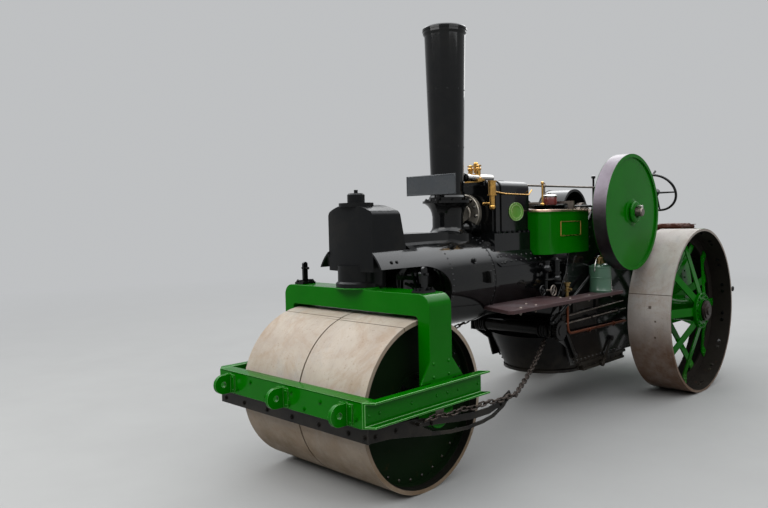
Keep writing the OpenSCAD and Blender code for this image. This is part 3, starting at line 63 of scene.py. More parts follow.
# Places along the machine, in metres, from the rear axle and from the front axle.
REAR_X = -1.4995
FRONT_X = 2.0355
ROLL_R = 0.533
REAR_R = 0.762
BOILER_Z = 1.212
SMOKEBOX_R = 0.338
SADDLE_R = 0.330
CRANK_X, CRANK_Z = 0.922, 1.690
CHIMNEY_X = 2.589
HORN_Y = 0.400
BOARD_TOP = 1.018
TURN = 2 * math.pi
SIDES = (-1, 1)
AHEAD, LEFT, UP = Vector((1, 0, 0)), Vector((0, 1, 0)), Vector((0, 0, 1))


def engine(x, y, z):
    """A place on the engine, from the rear axle, the middle and the ground."""
    return Vector((REAR_X + x, y, z))


def front(x, y, z):
    """A place on the fork, from the middle of the front axle."""
    return Vector((FRONT_X + x, y, ROLL_R + z))


# Node trees and finishes
class Tree:
    """A node tree, with one call for each node."""

    def __init__(self, tree):
        self.tree = tree

    def put(self, value, socket):
        if isinstance(value, bpy.types.NodeSocket):
            self.tree.links.new(value, socket)
        elif isinstance(value, (tuple, list)) and len(value) == 3 and socket.type == "RGBA":
            socket.default_value = (*value, 1.0)
        else:
            socket.default_value = value

    def node(self, kind, inputs=None, **settings):
        """A new node with its settings, and its inputs as values or links."""
        n = self.tree.nodes.new(kind)
        for name, value in settings.items():
            setattr(n, name, value)
        for socket, value in (inputs or {}).items():
            self.put(value, n.inputs[socket])
        return n

    def math(self, how, a, b=0.0, clamp=False):
        return self.node("ShaderNodeMath", {0: a, 1: b}, operation=how, use_clamp=clamp).outputs[0]

    def between(self, value, low, high, to_low=0.0, to_high=1.0):
        return self.node("ShaderNodeMapRange", {"Value": value, "From Min": low, "From Max": high,
                                                "To Min": to_low, "To Max": to_high}).outputs["Result"]

    def seen_directly(self):
        """1 for what the camera sees, itself or in metal and glass."""
        path = self.node("ShaderNodeLightPath").outputs
        share = path["Is Camera Ray"]
        for kind in ("Is Glossy Ray", "Is Transmission Ray"):
            share = self.math("MAXIMUM", share, path[kind])
        return share


class Finish(Tree):
    """One procedural material, built node by node on Object coordinates."""

    def __init__(self, name, metallic=0.0, coat=0.0, coat_roughness=0.1, specular=0.5):
        self.mat = bpy.data.materials.new(name)
        self.mat.use_nodes = True
        super().__init__(self.mat.node_tree)
        self.tree.nodes.clear()
        self.surface = self.node("ShaderNodeBsdfPrincipled", {
            "Metallic": metallic, "Coat Weight": coat, "Coat Roughness": coat_roughness,
            "Specular IOR Level": specular})
        self.out = self.node("ShaderNodeOutputMaterial", {"Surface": self.surface.outputs[0]})
        self.place = self.node("ShaderNodeTexCoord").outputs["Object"]

    def noise(self, scale, detail=4.0, rough=0.6, stretch=None, warp=0.0):
        """Cloudy noise, stretched along the axes where that is given."""
        place = self.place
        if stretch:
            place = self.node("ShaderNodeMapping", {"Scale": stretch, "Vector": place}).outputs[0]
        return self.node("ShaderNodeTexNoise", {"Scale": scale, "Detail": detail, "Roughness": rough,
                                                "Distortion": warp, "Vector": place}).outputs["Fac"]

    def axis(self, index):
        return self.node("ShaderNodeSeparateXYZ", {0: self.place}).outputs[index]

    def length(self, a, b):
        squares = [self.math("MULTIPLY", side, side) for side in (a, b)]
        return self.math("SQRT", self.math("ADD", *squares))

    def round_line(self, x, z):
        """The distance from the line along Y through (x, z), and the angle round it from straight ahead."""
        dx = self.math("SUBTRACT", self.axis(0), x)
        dz = self.math("SUBTRACT", self.axis(2), z)
        return self.length(dx, dz), self.math("ARCTAN2", dz, dx)

    def near(self, value, centre, half):
        """1 near the centre, 0 from half away."""
        gap = self.math("ABSOLUTE", self.math("SUBTRACT", value, centre))
        return self.between(gap, half * 0.6, half, 1.0, 0.0)

    def both(self, a, b):
        return self.math("MULTIPLY", a, b, clamp=True)

    def mix(self, share, a, b):
        return self.node("ShaderNodeMix", {0: share, 6: a, 7: b}, data_type="RGBA").outputs[2]

    def bump(self, height, depth, strength=1.0, under=None):
        inputs = {"Strength": strength, "Distance": depth, "Height": height}
        if under is not None:
            inputs["Normal"] = under
        return self.node("ShaderNodeBump", inputs).outputs[0]

    def done(self, colour, roughness, normal=None):
        self.put(colour, self.surface.inputs["Base Color"])
        self.put(roughness, self.surface.inputs["Roughness"])
        if normal is not None:
            self.put(normal, self.surface.inputs["Normal"])
        return self.mat


def tone(r, g, b):
    """A colour given as it looks on a screen, 0 to 255, as linear light."""
    return tuple(((c / 255 + 0.055) / 1.055) ** 2.4 if c > 10 else c / 255 / 12.92 for c in (r, g, b))


def shade(colour, share):
    return tuple(c * share for c in colour)


DUST = tone(120, 110, 94)
RUST = tone(104, 60, 32)
WELD = tone(62, 48, 38)


def enamel(name, colour, worn, dust=0.12, gloss=0.12, lumps=0.0005, low_dust=0.9, chip=0.75, coat=0.3,
           specular=0.3):
    """Brushed gloss paint: dusty low down, a few chips down to the metal."""
    f = Finish(name, coat=coat, coat_roughness=0.07, specular=specular)
    base = f.mix(f.between(f.noise(1.7, 4), 0.3, 0.7), shade(colour, 0.86), shade(colour, 1.14))
    haze = f.between(f.noise(3.2, 8, 0.7, warp=0.4), 0.48, 0.8, 0, dust)
    lower_tint = f.between(f.axis(2), 0.0, low_dust, 0.5, 0.0)
    lower_tint = f.both(lower_tint, f.between(f.noise(6.0, 6, 0.7), 0.35, 0.8))
    dirt = f.math("MAXIMUM", haze, lower_tint)
    base = f.mix(dirt, base, DUST)
    chips = f.between(f.noise(58.0, 6, 0.75), chip, chip + 0.03)
    chips = f.both(chips, f.between(f.noise(3.1, 3), 0.5, 0.62))
    base = f.mix(chips, base, worn)
    rough = f.between(f.noise(5.0, 5), 0.3, 0.75, gloss, gloss + 0.14)
    rough = f.math("ADD", rough, f.math("MULTIPLY", dirt, 0.55), clamp=True)
    skin = f.bump(f.noise(26.0, 3), lumps, 0.5)
    skin = f.bump(chips, 0.0003, -0.3, under=skin)
    return f.done(base, rough, skin)


def weld(degrees, y0, y1):
    """A joint across a tread: angle, middle, and half its size round and across."""
    return math.radians(degrees), (y0 + y1) / 2, 0.004, (y1 - y0) * 0.83


def plugged(degrees, y, half):
    """A filled hole in a tread, in the same terms."""
    return math.radians(degrees), y, half, half


def roll_tread(name, x, radius, rim, pale, deep, stain, inside, low_shade_and_stain, grooves, disc=None):
    """Ground iron tread, smooth and stained, with its welded joints; painted inside the rim.

    The argument after inside darkens the lower part of the tread brown, painted shade with some real stain:
    heights where it ends, colour and share.
    disc is the painted disc inside: its radius and colour.
    """
    f = Finish(name, specular=0.04)
    away, turn = f.round_line(x, radius)
    out = f.between(away, radius - rim + 0.001, radius - rim + 0.004)
    base = f.mix(f.between(f.noise(2.2, 6, 0.62), 0.30, 0.70), deep, pale)
    base = f.mix(f.between(f.noise(2.7, 8, 0.72, warp=0.8), 0.47, 0.70, 0, 0.62), base, stain)
    cool = f.between(f.noise(4.6, 6, 0.7, warp=0.5), 0.55, 0.75, 0, 0.45)
    base = f.mix(cool, base, tuple(sum(deep) / 3 * t for t in (0.92, 0.96, 1.0)))
    # painted shade: the tread turns darker brown towards the bottom, where less light falls, with some real
    # stain in it
    shade_low, shade_high, brown, share = low_shade_and_stain
    lower_tint = f.both(f.between(f.axis(2), shade_low, shade_high, 1.0, 0.0),
                  f.between(f.noise(4.0, 7, 0.7), 0.25, 0.6, 0.5, 1))
    base = f.mix(f.math("MULTIPLY", lower_tint, share), base, brown)
    turning = f.noise(38.0, 5, 0.65, (0.04, 1.0, 0.04))
    base = f.mix(f.between(turning, 0.50, 0.72, 0, 0.16), base, shade(deep, 0.62))
    dark = shade(stain, 0.5)
    base = f.mix(f.between(f.noise(46.0, 6, 0.78), 0.58, 0.70, 0, 0.6), base, dark)
    edge = f.both(f.between(away, radius - 0.004, radius - 0.0005, 1.0, 0.0), out)
    base = f.mix(f.math("MULTIPLY", edge, 0.45), base, dark)
    groove = 0.0
    for at, y, half_round, half_across in grooves:
        line = f.both(f.near(turn, at, half_round / radius), f.near(f.axis(1), y, half_across))
        groove = f.math("MAXIMUM", groove, line)
    base = f.mix(f.math("MULTIPLY", groove, 0.85), base, WELD)
    inner = f.mix(f.between(f.noise(5.0, 6, 0.7), 0.4, 0.7), inside, shade(inside, 1.4))
    if disc:
        inner = f.mix(f.between(away, disc[0], disc[0] + 0.01, 1.0, 0.0), inner, disc[1])
    inner = f.mix(f.between(f.noise(12.0, 7, 0.75), 0.62, 0.78, 0, 0.2), inner, RUST)
    pits = f.bump(f.noise(60.0, 5, 0.7), 0.0007, 0.5)
    pits = f.bump(turning, 0.0006, 0.4, under=pits)
    pits = f.bump(groove, 0.004, -0.8, under=pits)
    return f.done(f.mix(out, inner, base), f.between(f.noise(9.0, 5), 0.3, 0.7, 0.40, 0.62), pits)


def metal(name, colour, stain, rough=(0.2, 0.45), scale=12.0, share=0.6, brushed=None):
    f = Finish(name, metallic=1.0)
    patches = f.between(f.noise(scale, 7, 0.7, warp=0.3), 0.4, 0.7, 0, share)
    fine = f.noise(90.0, 4, 0.6, brushed)
    r = f.between(f.noise(scale * 1.7, 5), 0.3, 0.7, *rough)
    r = f.math("ADD", r, f.math("MULTIPLY", fine, 0.08))
    return f.done(f.mix(patches, colour, stain), r, f.bump(fine, 0.0002, 0.3))


def board(name):
    """Painted hardwood with its grain along the machine."""
    f = Finish(name, specular=0.12)
    rings = f.noise(9.0, 8, 0.7, (0.5, 12.0, 12.0), warp=0.6)
    base = f.mix(f.between(rings, 0.35, 0.68), tone(52, 36, 38), tone(76, 58, 58))
    top = f.between(f.axis(2), BOARD_TOP - 0.006, BOARD_TOP - 0.001)
    worn = f.both(f.between(f.noise(2.5, 6, 0.7), 0.40, 0.70, 0, 0.75), top)
    base = f.mix(worn, base, tone(92, 86, 88))
    scrape = f.between(f.noise(40.0, 4, 0.6, (0.15, 1.0, 1.0)), 0.62, 0.72, 0, 0.5)
    base = f.mix(scrape, base, tone(126, 116, 108))
    return f.done(base, f.between(rings, 0.3, 0.7, 0.38, 0.6), f.bump(rings, 0.0010, 0.6))


BLACK = enamel("black_enamel", tone(10, 11, 12), tone(60, 52, 46), 0.03, low_dust=0.6, coat=0.42,
               specular=0.05)
CASTING = enamel("black_casting", tone(16, 17, 18), tone(60, 54, 48), 0.05, 0.34, 0.0022, 0.4, coat=0.15,
                 specular=0.05)
GREEN = enamel("brunswick_green", tone(4, 95, 0), tone(100, 108, 86), 0.02, 0.14, low_dust=0.35, coat=0.12,
               specular=0.04)
GREEN_WORN = enamel("worn_green_edge", tone(84, 150, 74), tone(150, 156, 136), 0.1, 0.2)
BLACK_WORN = enamel("worn_black_edge", tone(40, 42, 44), tone(92, 80, 68), 0.1, 0.16)
GREASY = enamel("greasy_black", tone(12, 11, 11), tone(80, 60, 42), 0.07, 0.26, 0.0015, 0.6, coat=0.1,
                specular=0.1)
# in each tread the tuple after the inside colour is the painted shade of its lower part, with some stain:
# heights, colour and share
FRONT_TREAD = roll_tread(
    "front_roll_tread", FRONT_X, ROLL_R, 0.028, tone(188, 178, 166), tone(162, 150, 138), tone(148, 120, 92),
    tone(24, 23, 20), (0.22, 0.58, tone(104, 88, 68), 0.85), (weld(73, -0.58, -0.006), weld(70, 0.006, 0.58)),
    disc=(0.492, tone(12, 26, 10)))
REAR_TREAD = roll_tread(
    "rear_wheel_tread", REAR_X, REAR_R, 0.024, tone(180, 174, 169), tone(156, 150, 144), tone(140, 120, 102),
    tone(32, 29, 26), (0.45, 0.85, tone(86, 60, 42), 0.92),
    (weld(15.5, -0.93, -0.54), weld(15.5, 0.54, 0.93), plugged(7, 0.75, 0.016), plugged(-2, 0.80, 0.010),
     plugged(-13, 0.79, 0.011), plugged(7, -0.75, 0.016)))
STEEL = metal("bare_steel", tone(118, 112, 106), tone(66, 48, 36), (0.35, 0.6), share=0.8)
BRIGHT = metal("polished_steel", tone(196, 194, 190), tone(128, 118, 104), (0.14, 0.3), share=0.3)
BRASS = metal("brass", tone(196, 152, 82), tone(116, 84, 44), (0.18, 0.36), share=0.5)
# the copper is kept dark brown: tarnish, and partly painted shade, as the feed pipe runs in shade under the
# board
COPPER = metal("copper", tone(112, 62, 42), tone(58, 38, 28), (0.28, 0.48), share=0.8)
DULL_BRASS = metal("dull_brass", tone(140, 118, 76), tone(70, 60, 40), (0.3, 0.5))
STRIP = metal("polished_strip", tone(226, 190, 168), tone(170, 130, 110), (0.22, 0.34), share=0.3)
RIM_STEEL = metal("flywheel_steel", tone(92, 86, 92), tone(66, 58, 62), (0.30, 0.46), 5,
                  brushed=(0.05, 3.0, 0.05))
COVER_IRON = metal("cover_iron", tone(150, 144, 134), tone(92, 84, 72), (0.38, 0.55))
CHAIN = metal("chain_steel", tone(66, 60, 56), tone(40, 30, 24), (0.34, 0.55), 30, 0.7)
WOOD = board("plum_board")
CAN = enamel("can_green_grey", tone(62, 92, 74), tone(130, 130, 120), 0.08, 0.16, low_dust=0.1)
LEATHER = enamel("seat_leather", tone(58, 27, 16), tone(84, 54, 38), 0.04, 0.42, 0.002, 0.1, coat=0.0,
                 specular=0.08)
PLATE = enamel("plate_grey", tone(58, 62, 66), tone(120, 118, 112), 0.1, 0.2, low_dust=0.1)
POT = enamel("pot_red", tone(104, 40, 38), tone(140, 120, 108), 0.1, 0.2, low_dust=0.1)
BADGE = enamel("badge_green", tone(70, 128, 30), tone(150, 160, 110), 0.05, 0.2, low_dust=0.1, chip=0.62)
BADGE_RIM = enamel("badge_border", tone(150, 176, 112), tone(110, 120, 80), 0.05, 0.2, low_dust=0.1)
GLASS = enamel("gauge_white", tone(214, 212, 202), tone(160, 150, 130), 0.1, 0.1, low_dust=0.1)

# The finishes of each slot; a node has the first of them, unless it has its own.
SLOTS = {"black_paint": (BLACK, CASTING, GREASY, PLATE, POT), "green_paint": (GREEN, BADGE, BADGE_RIM),
         "roll_iron": (FRONT_TREAD,), "bare_steel": (STEEL, RIM_STEEL, COVER_IRON),
         "polished_steel": (BRIGHT, STRIP, GLASS), "brass": (BRASS, DULL_BRASS), "copper": (COPPER,),
         "plum_wood": (WOOD,), "can_enamel": (CAN,), "chain_steel": (CHAIN,), "seat_pad": (LEATHER,)}
OWN = {"rear_wheel_left": REAR_TREAD, "rear_wheel_right": REAR_TREAD, "ash_pan": GREASY,
       "board_brackets": GREASY, "roll_scrapers": GREASY, "number_plate": PLATE, "headstock": CASTING,
       "cylinder_cover": COVER_IRON, "chain_barrel": GREASY}


def dress():
    """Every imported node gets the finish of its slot, or its own."""
    for name, obj in NODES.items():
        finish = OWN.get(name) or SLOTS[SLOT_OF_NODE[name]][0]
        if not obj.material_slots:
            obj.data.materials.append(finish)
        for s in obj.material_slots:
            s.material = finish


dress()


# Making pieces
def soft_path(points, bend, steps=6):
    """The path with each inner corner rounded."""
    points = [Vector(p) for p in points]
    path = [points[0]]
    for a, b, c in zip(points, points[1:], points[2:]):
        back, on = (a - b), (c - b)
        reach = min(bend, back.length * 0.49, on.length * 0.49)
        p, q = b + back.normalized() * reach, b + on.normalized() * reach
        for k in range(steps + 1):
            t = k / steps
            path.append(p * (1 - t) ** 2 + b * 2 * t * (1 - t) + q * t * t)
    path.append(points[-1])
    return path


def circle(centre, radius, count, start=0.0):
    """Points round a line along Y."""
    turns = [start + TURN * k / count for k in range(count)]
    return [centre + Vector((radius * math.cos(a), 0, radius * math.sin(a))) for a in turns]


def arc(centre, radius, first, last, steps):
    """Points round a line along Y, from one angle to another in degrees."""
    turns = [math.radians(first + (last - first) * k / steps) for k in range(steps + 1)]
    return [centre + Vector((radius * math.cos(a), 0, radius * math.sin(a))) for a in turns]


def band(inner, outer, low, high):
    """The outline of a flat ring."""
    return [(inner, low), (outer, low), (outer, high), (inner, high), (inner, low)]


def cheese(radius, low, high):
    """The outline of a short bar."""
    return [(0, low), (radius, low), (radius, high), (0, high)]


def oblong(half_u, half_v):
    return (-half_u, -half_v), (half_u, -half_v), (half_u, half_v), (-half_u, half_v)


def linked(name, data):
    obj = bpy.data.objects.new(name, data)
    bpy.context.scene.collection.objects.link(obj)
    return obj


def worked(obj):
    """The object's mesh as its modifiers leave it, with the modifiers gone."""
    me = bpy.data.meshes.new_from_object(obj.evaluated_get(bpy.context.evaluated_depsgraph_get()))
    obj.modifiers.clear()
    obj.data = me
    return me


def sharp_edges(bm, degrees):
    return [e for e in bm.edges if len(e.link_faces) == 2 and e.calc_face_angle(0) > math.radians(degrees)]


def own_finish(me, name, finish):
    me.name = name
    me.materials.clear()
    me.materials.append(finish)
    me.shade_smooth()


def settle(name, me, finish, body, crease=34):
    """A finished mesh as a piece that rides on its body."""
    own_finish(me, name, finish)
    me.set_sharp_from_angle(angle=math.radians(crease))
    obj = linked(name, me)
    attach(obj, body)
    return obj


class Piece:
    """The forms of one finished piece, gathered in one mesh."""

    def __init__(self):
        self.bm = bmesh.new()

    def skin(self, rings, loop=False, ends=False):
        """Faces between rings of points; a ring of one point is a pole."""
        made = [[self.bm.verts.new(p) for p in ring] for ring in rings]
        pairs = list(zip(made, made[1:])) + ([(made[-1], made[0])] if loop else [])
        for a, b in pairs:
            count = max(len(a), len(b))
            for k in range(count):
                j = (k + 1) % count
                corners = (a[k % len(a)], a[j % len(a)], b[j % len(b)], b[k % len(b)])
                face = list(dict.fromkeys(corners))
                if len(face) > 2:
                    self.bm.faces.new(face)
        if ends:
            self.bm.faces.new(made[0])
            self.bm.faces.new(made[-1])
        return self

    def turned(self, outline, at, axis=UP, steps=28):
        """A turned form: (radius, height) pairs along the axis, from pole to pole or round in a loop."""
        turn = UP.rotation_difference(Vector(axis)).to_matrix()
        loop = outline[0] == outline[-1] and outline[0][0] > 1e-6
        rings = []
        for r, h in (outline[:-1] if loop else outline):
            turns = [TURN * k / steps for k in range(1 if r < 1e-6 else steps)]
            rings.append([at + turn @ Vector((r * math.cos(a), r * math.sin(a), h)) for a in turns])
        return self.skin(rings, loop)

    def pipe(self, points, r, sides=12, bend=0.0, loop=False):
        """A round bar along a path, closed at its ends; r may be a list, one for each point."""
        path = soft_path(points, bend) if bend else [Vector(p) for p in points]
        rings = []
        side = None
        for k, p in enumerate(path):
            before = path[k - 1] if k or loop else p
            after = path[(k + 1) % len(path)] if k < len(path) - 1 or loop else p
            along = (after - before).normalized()
            if side is None:
                side = along.orthogonal().normalized()
            side = (side - along * side.dot(along)).normalized()
            up = along.cross(side)
            radius = r[k] if isinstance(r, list) else r
            turns = [TURN * j / sides for j in range(sides)]
            rings.append([p + (side * math.cos(a) + up * math.sin(a)) * radius for a in turns])
        return self.skin(rings, loop, ends=not loop)

    def plate(self, outline, at, u, v, thick):
        """A flat outline in the directions u and v, given its thickness across them."""
        at, u, v = Vector(at), Vector(u), Vector(v)
        n = u.cross(v).normalized() * thick
        low = [at + u * a + v * b for a, b in outline]
        return self.skin([low, [p + n for p in low]], ends=True)

    def box(self, low, high):
        (x0, y0, z0), (x1, y1, z1) = low, high
        return self.plate(((x0, y0), (x1, y0), (x1, y1), (x0, y1)), (0, 0, z0), AHEAD, LEFT, z1 - z0)

    def strip(self, path, wide, thick, across=LEFT):
        """A flat bar bent along a path, its width along across."""
        w = across * wide / 2
        rings = []
        for k, p in enumerate(path):
            along = (path[min(k + 1, len(path) - 1)] - path[max(k - 1, 0)]).normalized()
            n = along.cross(across).normalized() * thick / 2
            rings.append([p - w - n, p + w - n, p + w + n, p - w + n])
        return self.skin(rings, ends=True)

    def done(self, name, finish, body="engine", edge=0.0, slot=None):
        bm = self.bm
        bmesh.ops.remove_doubles(bm, verts=bm.verts, dist=1e-6)
        bmesh.ops.recalc_face_normals(bm, faces=bm.faces)
        if edge:
            bmesh.ops.bevel(bm, geom=sharp_edges(bm, 34), offset=edge, offset_type="OFFSET", segments=2,
                            profile=0.5, affect="EDGES", clamp_overlap=True)
        me = bpy.data.meshes.new(name)
        bm.to_mesh(me)
        bm.free()
        return settle(name, me, finish, body)


def rounded(node, width, worn):
    """The node with its sharp edges rounded and worn, in the node's place."""
    source = NODES[node]
    bm = bmesh.new()
    bm.from_mesh(source.data)
    bmesh.ops.remove_doubles(bm, verts=bm.verts, dist=2e-5)
    bmesh.ops.dissolve_limit(bm, angle_limit=math.radians(0.5), verts=bm.verts, edges=bm.edges)
    for face in bm.faces:
        face.material_index = 0
    bmesh.ops.bevel(bm, geom=sharp_edges(bm, 38), offset=width, offset_type="OFFSET", segments=2, profile=0.6,
                    affect="EDGES", clamp_overlap=True, material=1)
    bmesh.ops.triangulate(bm, faces=[f for f in bm.faces if len(f.verts) > 4])
    me = bpy.data.meshes.new(node + "_worn")
    bm.to_mesh(me)
    bm.free()
    me.materials.append(source.material_slots[0].material)
    me.materials.append(worn)
    me.shade_smooth()
    me.set_sharp_from_angle(angle=math.radians(50))
    obj = linked(node + "_worn", me)
    even = obj.modifiers.new("even_light", "WEIGHTED_NORMAL")
    even.keep_sharp = True
    even.weight = 80
    worked(obj)
    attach(obj, BODY_OF_NODE[node])
    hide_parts(node)


# Rivets, bolts, studs and links, set on points
class SetOnPoints(Tree):
    """A Geometry Nodes tree that sets one shape on points which carry their facing."""

    def __init__(self, name, sockets):
        super().__init__(bpy.data.node_groups.new(name, "GeometryNodeTree"))
        add = self.tree.interface.new_socket
        for label, kind in [("Geometry", "Geometry"), *sockets, ("Finish", "Material")]:
            add(label, in_out="INPUT", socket_type="NodeSocket" + kind)
        add("Geometry", in_out="OUTPUT", socket_type="NodeSocketGeometry")
        self.given = self.node("NodeGroupInput").outputs

    def carried(self, label, kind="FLOAT"):
        read = self.node("GeometryNodeInputNamedAttribute", {"Name": label}, data_type=kind)
        return read.outputs["Attribute"]

    def finish(self, shape, axis, spin, size=(1, 1, 1)):
        """The shape with its axis along each point's facing, as plain mesh."""
        face = self.node("FunctionNodeAlignRotationToVector",
                         {"Vector": self.carried("facing", "FLOAT_VECTOR")}, axis=axis)
        turned = self.node("FunctionNodeRotateRotation", {0: face.outputs[0], 1: spin.outputs[0]},
                           rotation_space="LOCAL")
        setter = self.node("GeometryNodeInstanceOnPoints", {
            "Points": self.given["Geometry"], "Instance": shape, "Rotation": turned.outputs[0],
            "Scale": size})
        real = self.node("GeometryNodeRealizeInstances", {0: setter.outputs[0]})
        paint = self.node("GeometryNodeSetMaterial", {"Geometry": real.outputs[0],
                                                      "Material": self.given["Finish"]})
        self.node("NodeGroupOutput", {0: paint.outputs[0]})
        return self.tree


HEAD_SIZES = [part + size for part in ("Head", "Washer", "Stud") for size in (" radius", " height")]


def fixing_tree(name, domed):
    """A domed head, or a head on its washer with the stud's end, each turned by chance."""
    sizes = [(label, "Float") for label in HEAD_SIZES]
    t = SetOnPoints(name, sizes + [("Sides", "Int"), ("Turn seed", "Int")])
    given = t.given

    def lifted(part, sides, share):
        height = given[part + " height"]
        bar = t.node("GeometryNodeMeshCylinder", {"Radius": given[part + " radius"], "Depth": height,
                                                  "Vertices": sides})
        rise = t.node("ShaderNodeCombineXYZ", {2: t.math("MULTIPLY", height, share)})
        return t.node("GeometryNodeTransform", {"Geometry": bar.outputs["Mesh"],
                                                "Translation": rise.outputs[0]}).outputs[0]

    if domed:
        ball = t.node("GeometryNodeMeshUVSphere", {"Segments": 10, "Rings": 6,
                                                 "Radius": given["Head radius"]})
        ratio = t.math("DIVIDE", given["Head height"], given["Head radius"])
        press = t.node("ShaderNodeCombineXYZ", {0: 1.0, 1: 1.0, 2: ratio})
        head = t.node("GeometryNodeTransform", {"Geometry": ball.outputs["Mesh"], "Scale": press.outputs[0]})
    else:
        head = t.node("GeometryNodeJoinGeometry")
        for part, sides, share in (("Head", given["Sides"], 0.5), ("Washer", 14, 0.4), ("Stud", 8, 0.5)):
            t.put(lifted(part, sides, share), head.inputs[0])
    chance = t.node("FunctionNodeRandomValue", {2: 0.0, 3: TURN, "Seed": given["Turn seed"]},
                    data_type="FLOAT")
    spin = t.node("ShaderNodeCombineXYZ", {2: chance.outputs[1]})
    return t.finish(head.outputs[0], "Z", spin, t.carried("size"))


RIVET_TREE = fixing_tree("rivet_heads", True)
BOLT_TREE = fixing_tree("bolt_heads", False)
# tree and, in millimetres, radius and height of the head, washer and stud; then the head's sides
KINDS = {
    "rivet": (RIVET_TREE, (11, 8), 6),
    "small_rivet": (RIVET_TREE, (7, 4.5), 6),
    "coach_bolt": (RIVET_TREE, (15, 6), 6),
    "bolt": (BOLT_TREE, (14, 11, 18, 4, 7, 14), 6),
    "nut": (BOLT_TREE, (15, 12, 18, 3, 8, 22), 6),
    "plug": (BOLT_TREE, (13, 22, 22, 10, 6, 22), 4),
}
TURN_SEED = 7
PLACED = {}


def fix(kind, finish, at, facing, size=1.0, body="engine"):
    PLACED.setdefault((kind, body, finish.name), []).append((Vector(at), Vector(facing), size))


def run_with(tree, me, values, name):
    """The mesh as the tree leaves it, with its named inputs set."""
    obj = linked(name, me)
    worker = obj.modifiers.new("make", "NODES")
    worker.node_group = tree
    for item in tree.interface.items_tree:
        if item.in_out == "INPUT" and item.name in values:
            worker[item.identifier] = values[item.name]
    result = worked(obj)
    bpy.data.objects.remove(obj)
    return result


def point_mesh(points, third):
    """Loose points that carry their facing, and a third value under its name."""
    me = bpy.data.meshes.new("points")
    me.from_pydata([p[0] for p in points], [], [])
    for label, kind, field, column in (("facing", "FLOAT_VECTOR", "vector", 1), (third, "FLOAT", "value", 2)):
        data = me.attributes.new(label, kind, "POINT").data
        for k, p in enumerate(points):
            setattr(data[k], field, p[column])
    return me


def set_fixings():
    for (kind, body, finish), points in sorted(PLACED.items()):
        tree, sizes, sides = KINDS[kind]
        name = f"{kind}s_{body}_{finish}"
        values = {label: size / 1000 for label, size in zip(HEAD_SIZES, sizes)}
        values.update({"Sides": sides, "Turn seed": TURN_SEED, "Finish": bpy.data.materials[finish]})
        me = run_with(tree, point_mesh(points, "size"), values, name)
        settle(name, me, bpy.data.materials[finish], body, crease=40)


def row(a, b, count):
    a, b = Vector(a), Vector(b)
    return [a.lerp(b, k / (count - 1)) for k in range(count)]


def ring(centre, axis, radius, count, start=0.0):
    """Points round a circle, each with its direction from the centre."""
    u = axis.orthogonal().normalized()
    v = axis.cross(u)
    turns = [start + TURN * k / count for k in range(count)]
    return [(centre + away * radius, away) for away in (u * math.cos(a) + v * math.sin(a) for a in turns)]


def fix_ring(kind, finish, centre, axis, radius, count, size, start=0.0, body="engine"):
    for place, _ in ring(centre, axis, radius, count, start):
        fix(kind, finish, place, axis, size, body)


def round_boiler(x, angle, radius):
    """A place on the boiler: angle from the top, towards the flywheel side; and its facing."""
    away = Vector((0, math.sin(angle), math.cos(angle)))
    return engine(x, 0, BOILER_Z) + away * radius, away


# Worn copies of the hard-edged nodes: width of the rounding and finish of the edge
def wear_edges():
    for node, width, worn in (
            ("fork", 0.009, GREEN), ("towing_frame", 0.003, GREEN_WORN), ("side_channels", 0.003, GREEN_WORN),
            ("motion_covers", 0.002, GREEN), ("tender", 0.003, GREEN), ("headstock", 0.014, CASTING),
            ("cylinder_block", 0.006, BLACK), ("number_plate", 0.0015, BLACK_WORN),
            ("hornplates", 0.002, BLACK_WORN), ("running_boards", 0.004, WOOD),
            ("roll_scrapers", 0.002, BLACK_WORN)):
        rounded(node, width, worn)


# Front end
def fork_fixings():
    on_fork = partial(fix, body="front_fork")
    web_x = 0.640
    for y, z in ((-0.485, 0.061), (-0.343, 0.126), (-0.185, 0.054), (0.060, 0.060), (0.194, 0.048),
                 (0.341, 0.114), (0.640, 0.074), (0.075, 0.131)):
        on_fork("bolt", GREEN, front(web_x, y, z), AHEAD, 0.8)
    # each lug's four rivets
    for y, dy, z in product((-0.566, 0, 0.566), (-0.036, 0.036), (0.045, 0.13)):
        on_fork("rivet", GREEN, front(web_x + 0.009, y + dy, z), AHEAD, 0.8)
    for s in SIDES:
        for x in (-0.36, -0.16, -0.06, 0.04, 0.26, 0.52, 0.6):
            on_fork("rivet", GREEN, front(x, s * 0.7023, 0.09), LEFT * s, 0.9)
        for x, z in product((-0.09, 0.05), (0.2, 0.28)):
            on_fork("rivet", GREEN, front(x, s * 0.690, z), LEFT * s)
        # studs of the post's foot, on the beam
        for x, dy in product((-0.056, 0.032), (-0.034, 0.026)):
            on_fork("nut", BLACK, front(x, s * (0.572 + dy), 0.706), UP, 0.8)
    # bolts along the scraper bar and its side arms
    for y in (-0.66, -0.45, -0.2, 0.05, 0.3, 0.55, 0.68):
        on_fork("bolt", GREASY, front(0.62, y, -0.03), AHEAD, 0.9)
    for s in SIDES:
        for x, z in ((0.56, -0.032), (0.40, -0.035), (0.10, -0.06), (-0.60, -0.09), (-0.66, -0.07)):
            on_fork("bolt", GREASY, front(x, s * 0.711, z), LEFT * s, 0.85)


def chain_tree():
    """Round-wire links, each turned as its point says."""
    sizes = ("Link length", "Link width", "Wire radius")
    t = SetOnPoints("chain_links", [(label, "Float") for label in sizes])
    width = t.given["Link width"]
    shape = t.node("GeometryNodeCurvePrimitiveQuadrilateral", {"Width": t.given["Link length"],
                                                               "Height": width})
    soft = t.node("GeometryNodeFilletCurve", {"Count": 4, "Curve": shape.outputs[0],
                                              "Radius": t.math("MULTIPLY", width, 0.49)}, mode="POLY")
    wire = t.node("GeometryNodeCurvePrimitiveCircle", {"Resolution": 8, "Radius": t.given["Wire radius"]})
    bar = t.node("GeometryNodeCurveToMesh", {"Curve": soft.outputs[0], "Profile Curve": wire.outputs[0]})
    spin = t.node("ShaderNodeCombineXYZ", {0: t.carried("turn")})
    return t.finish(bar.outputs[0], "X", spin)


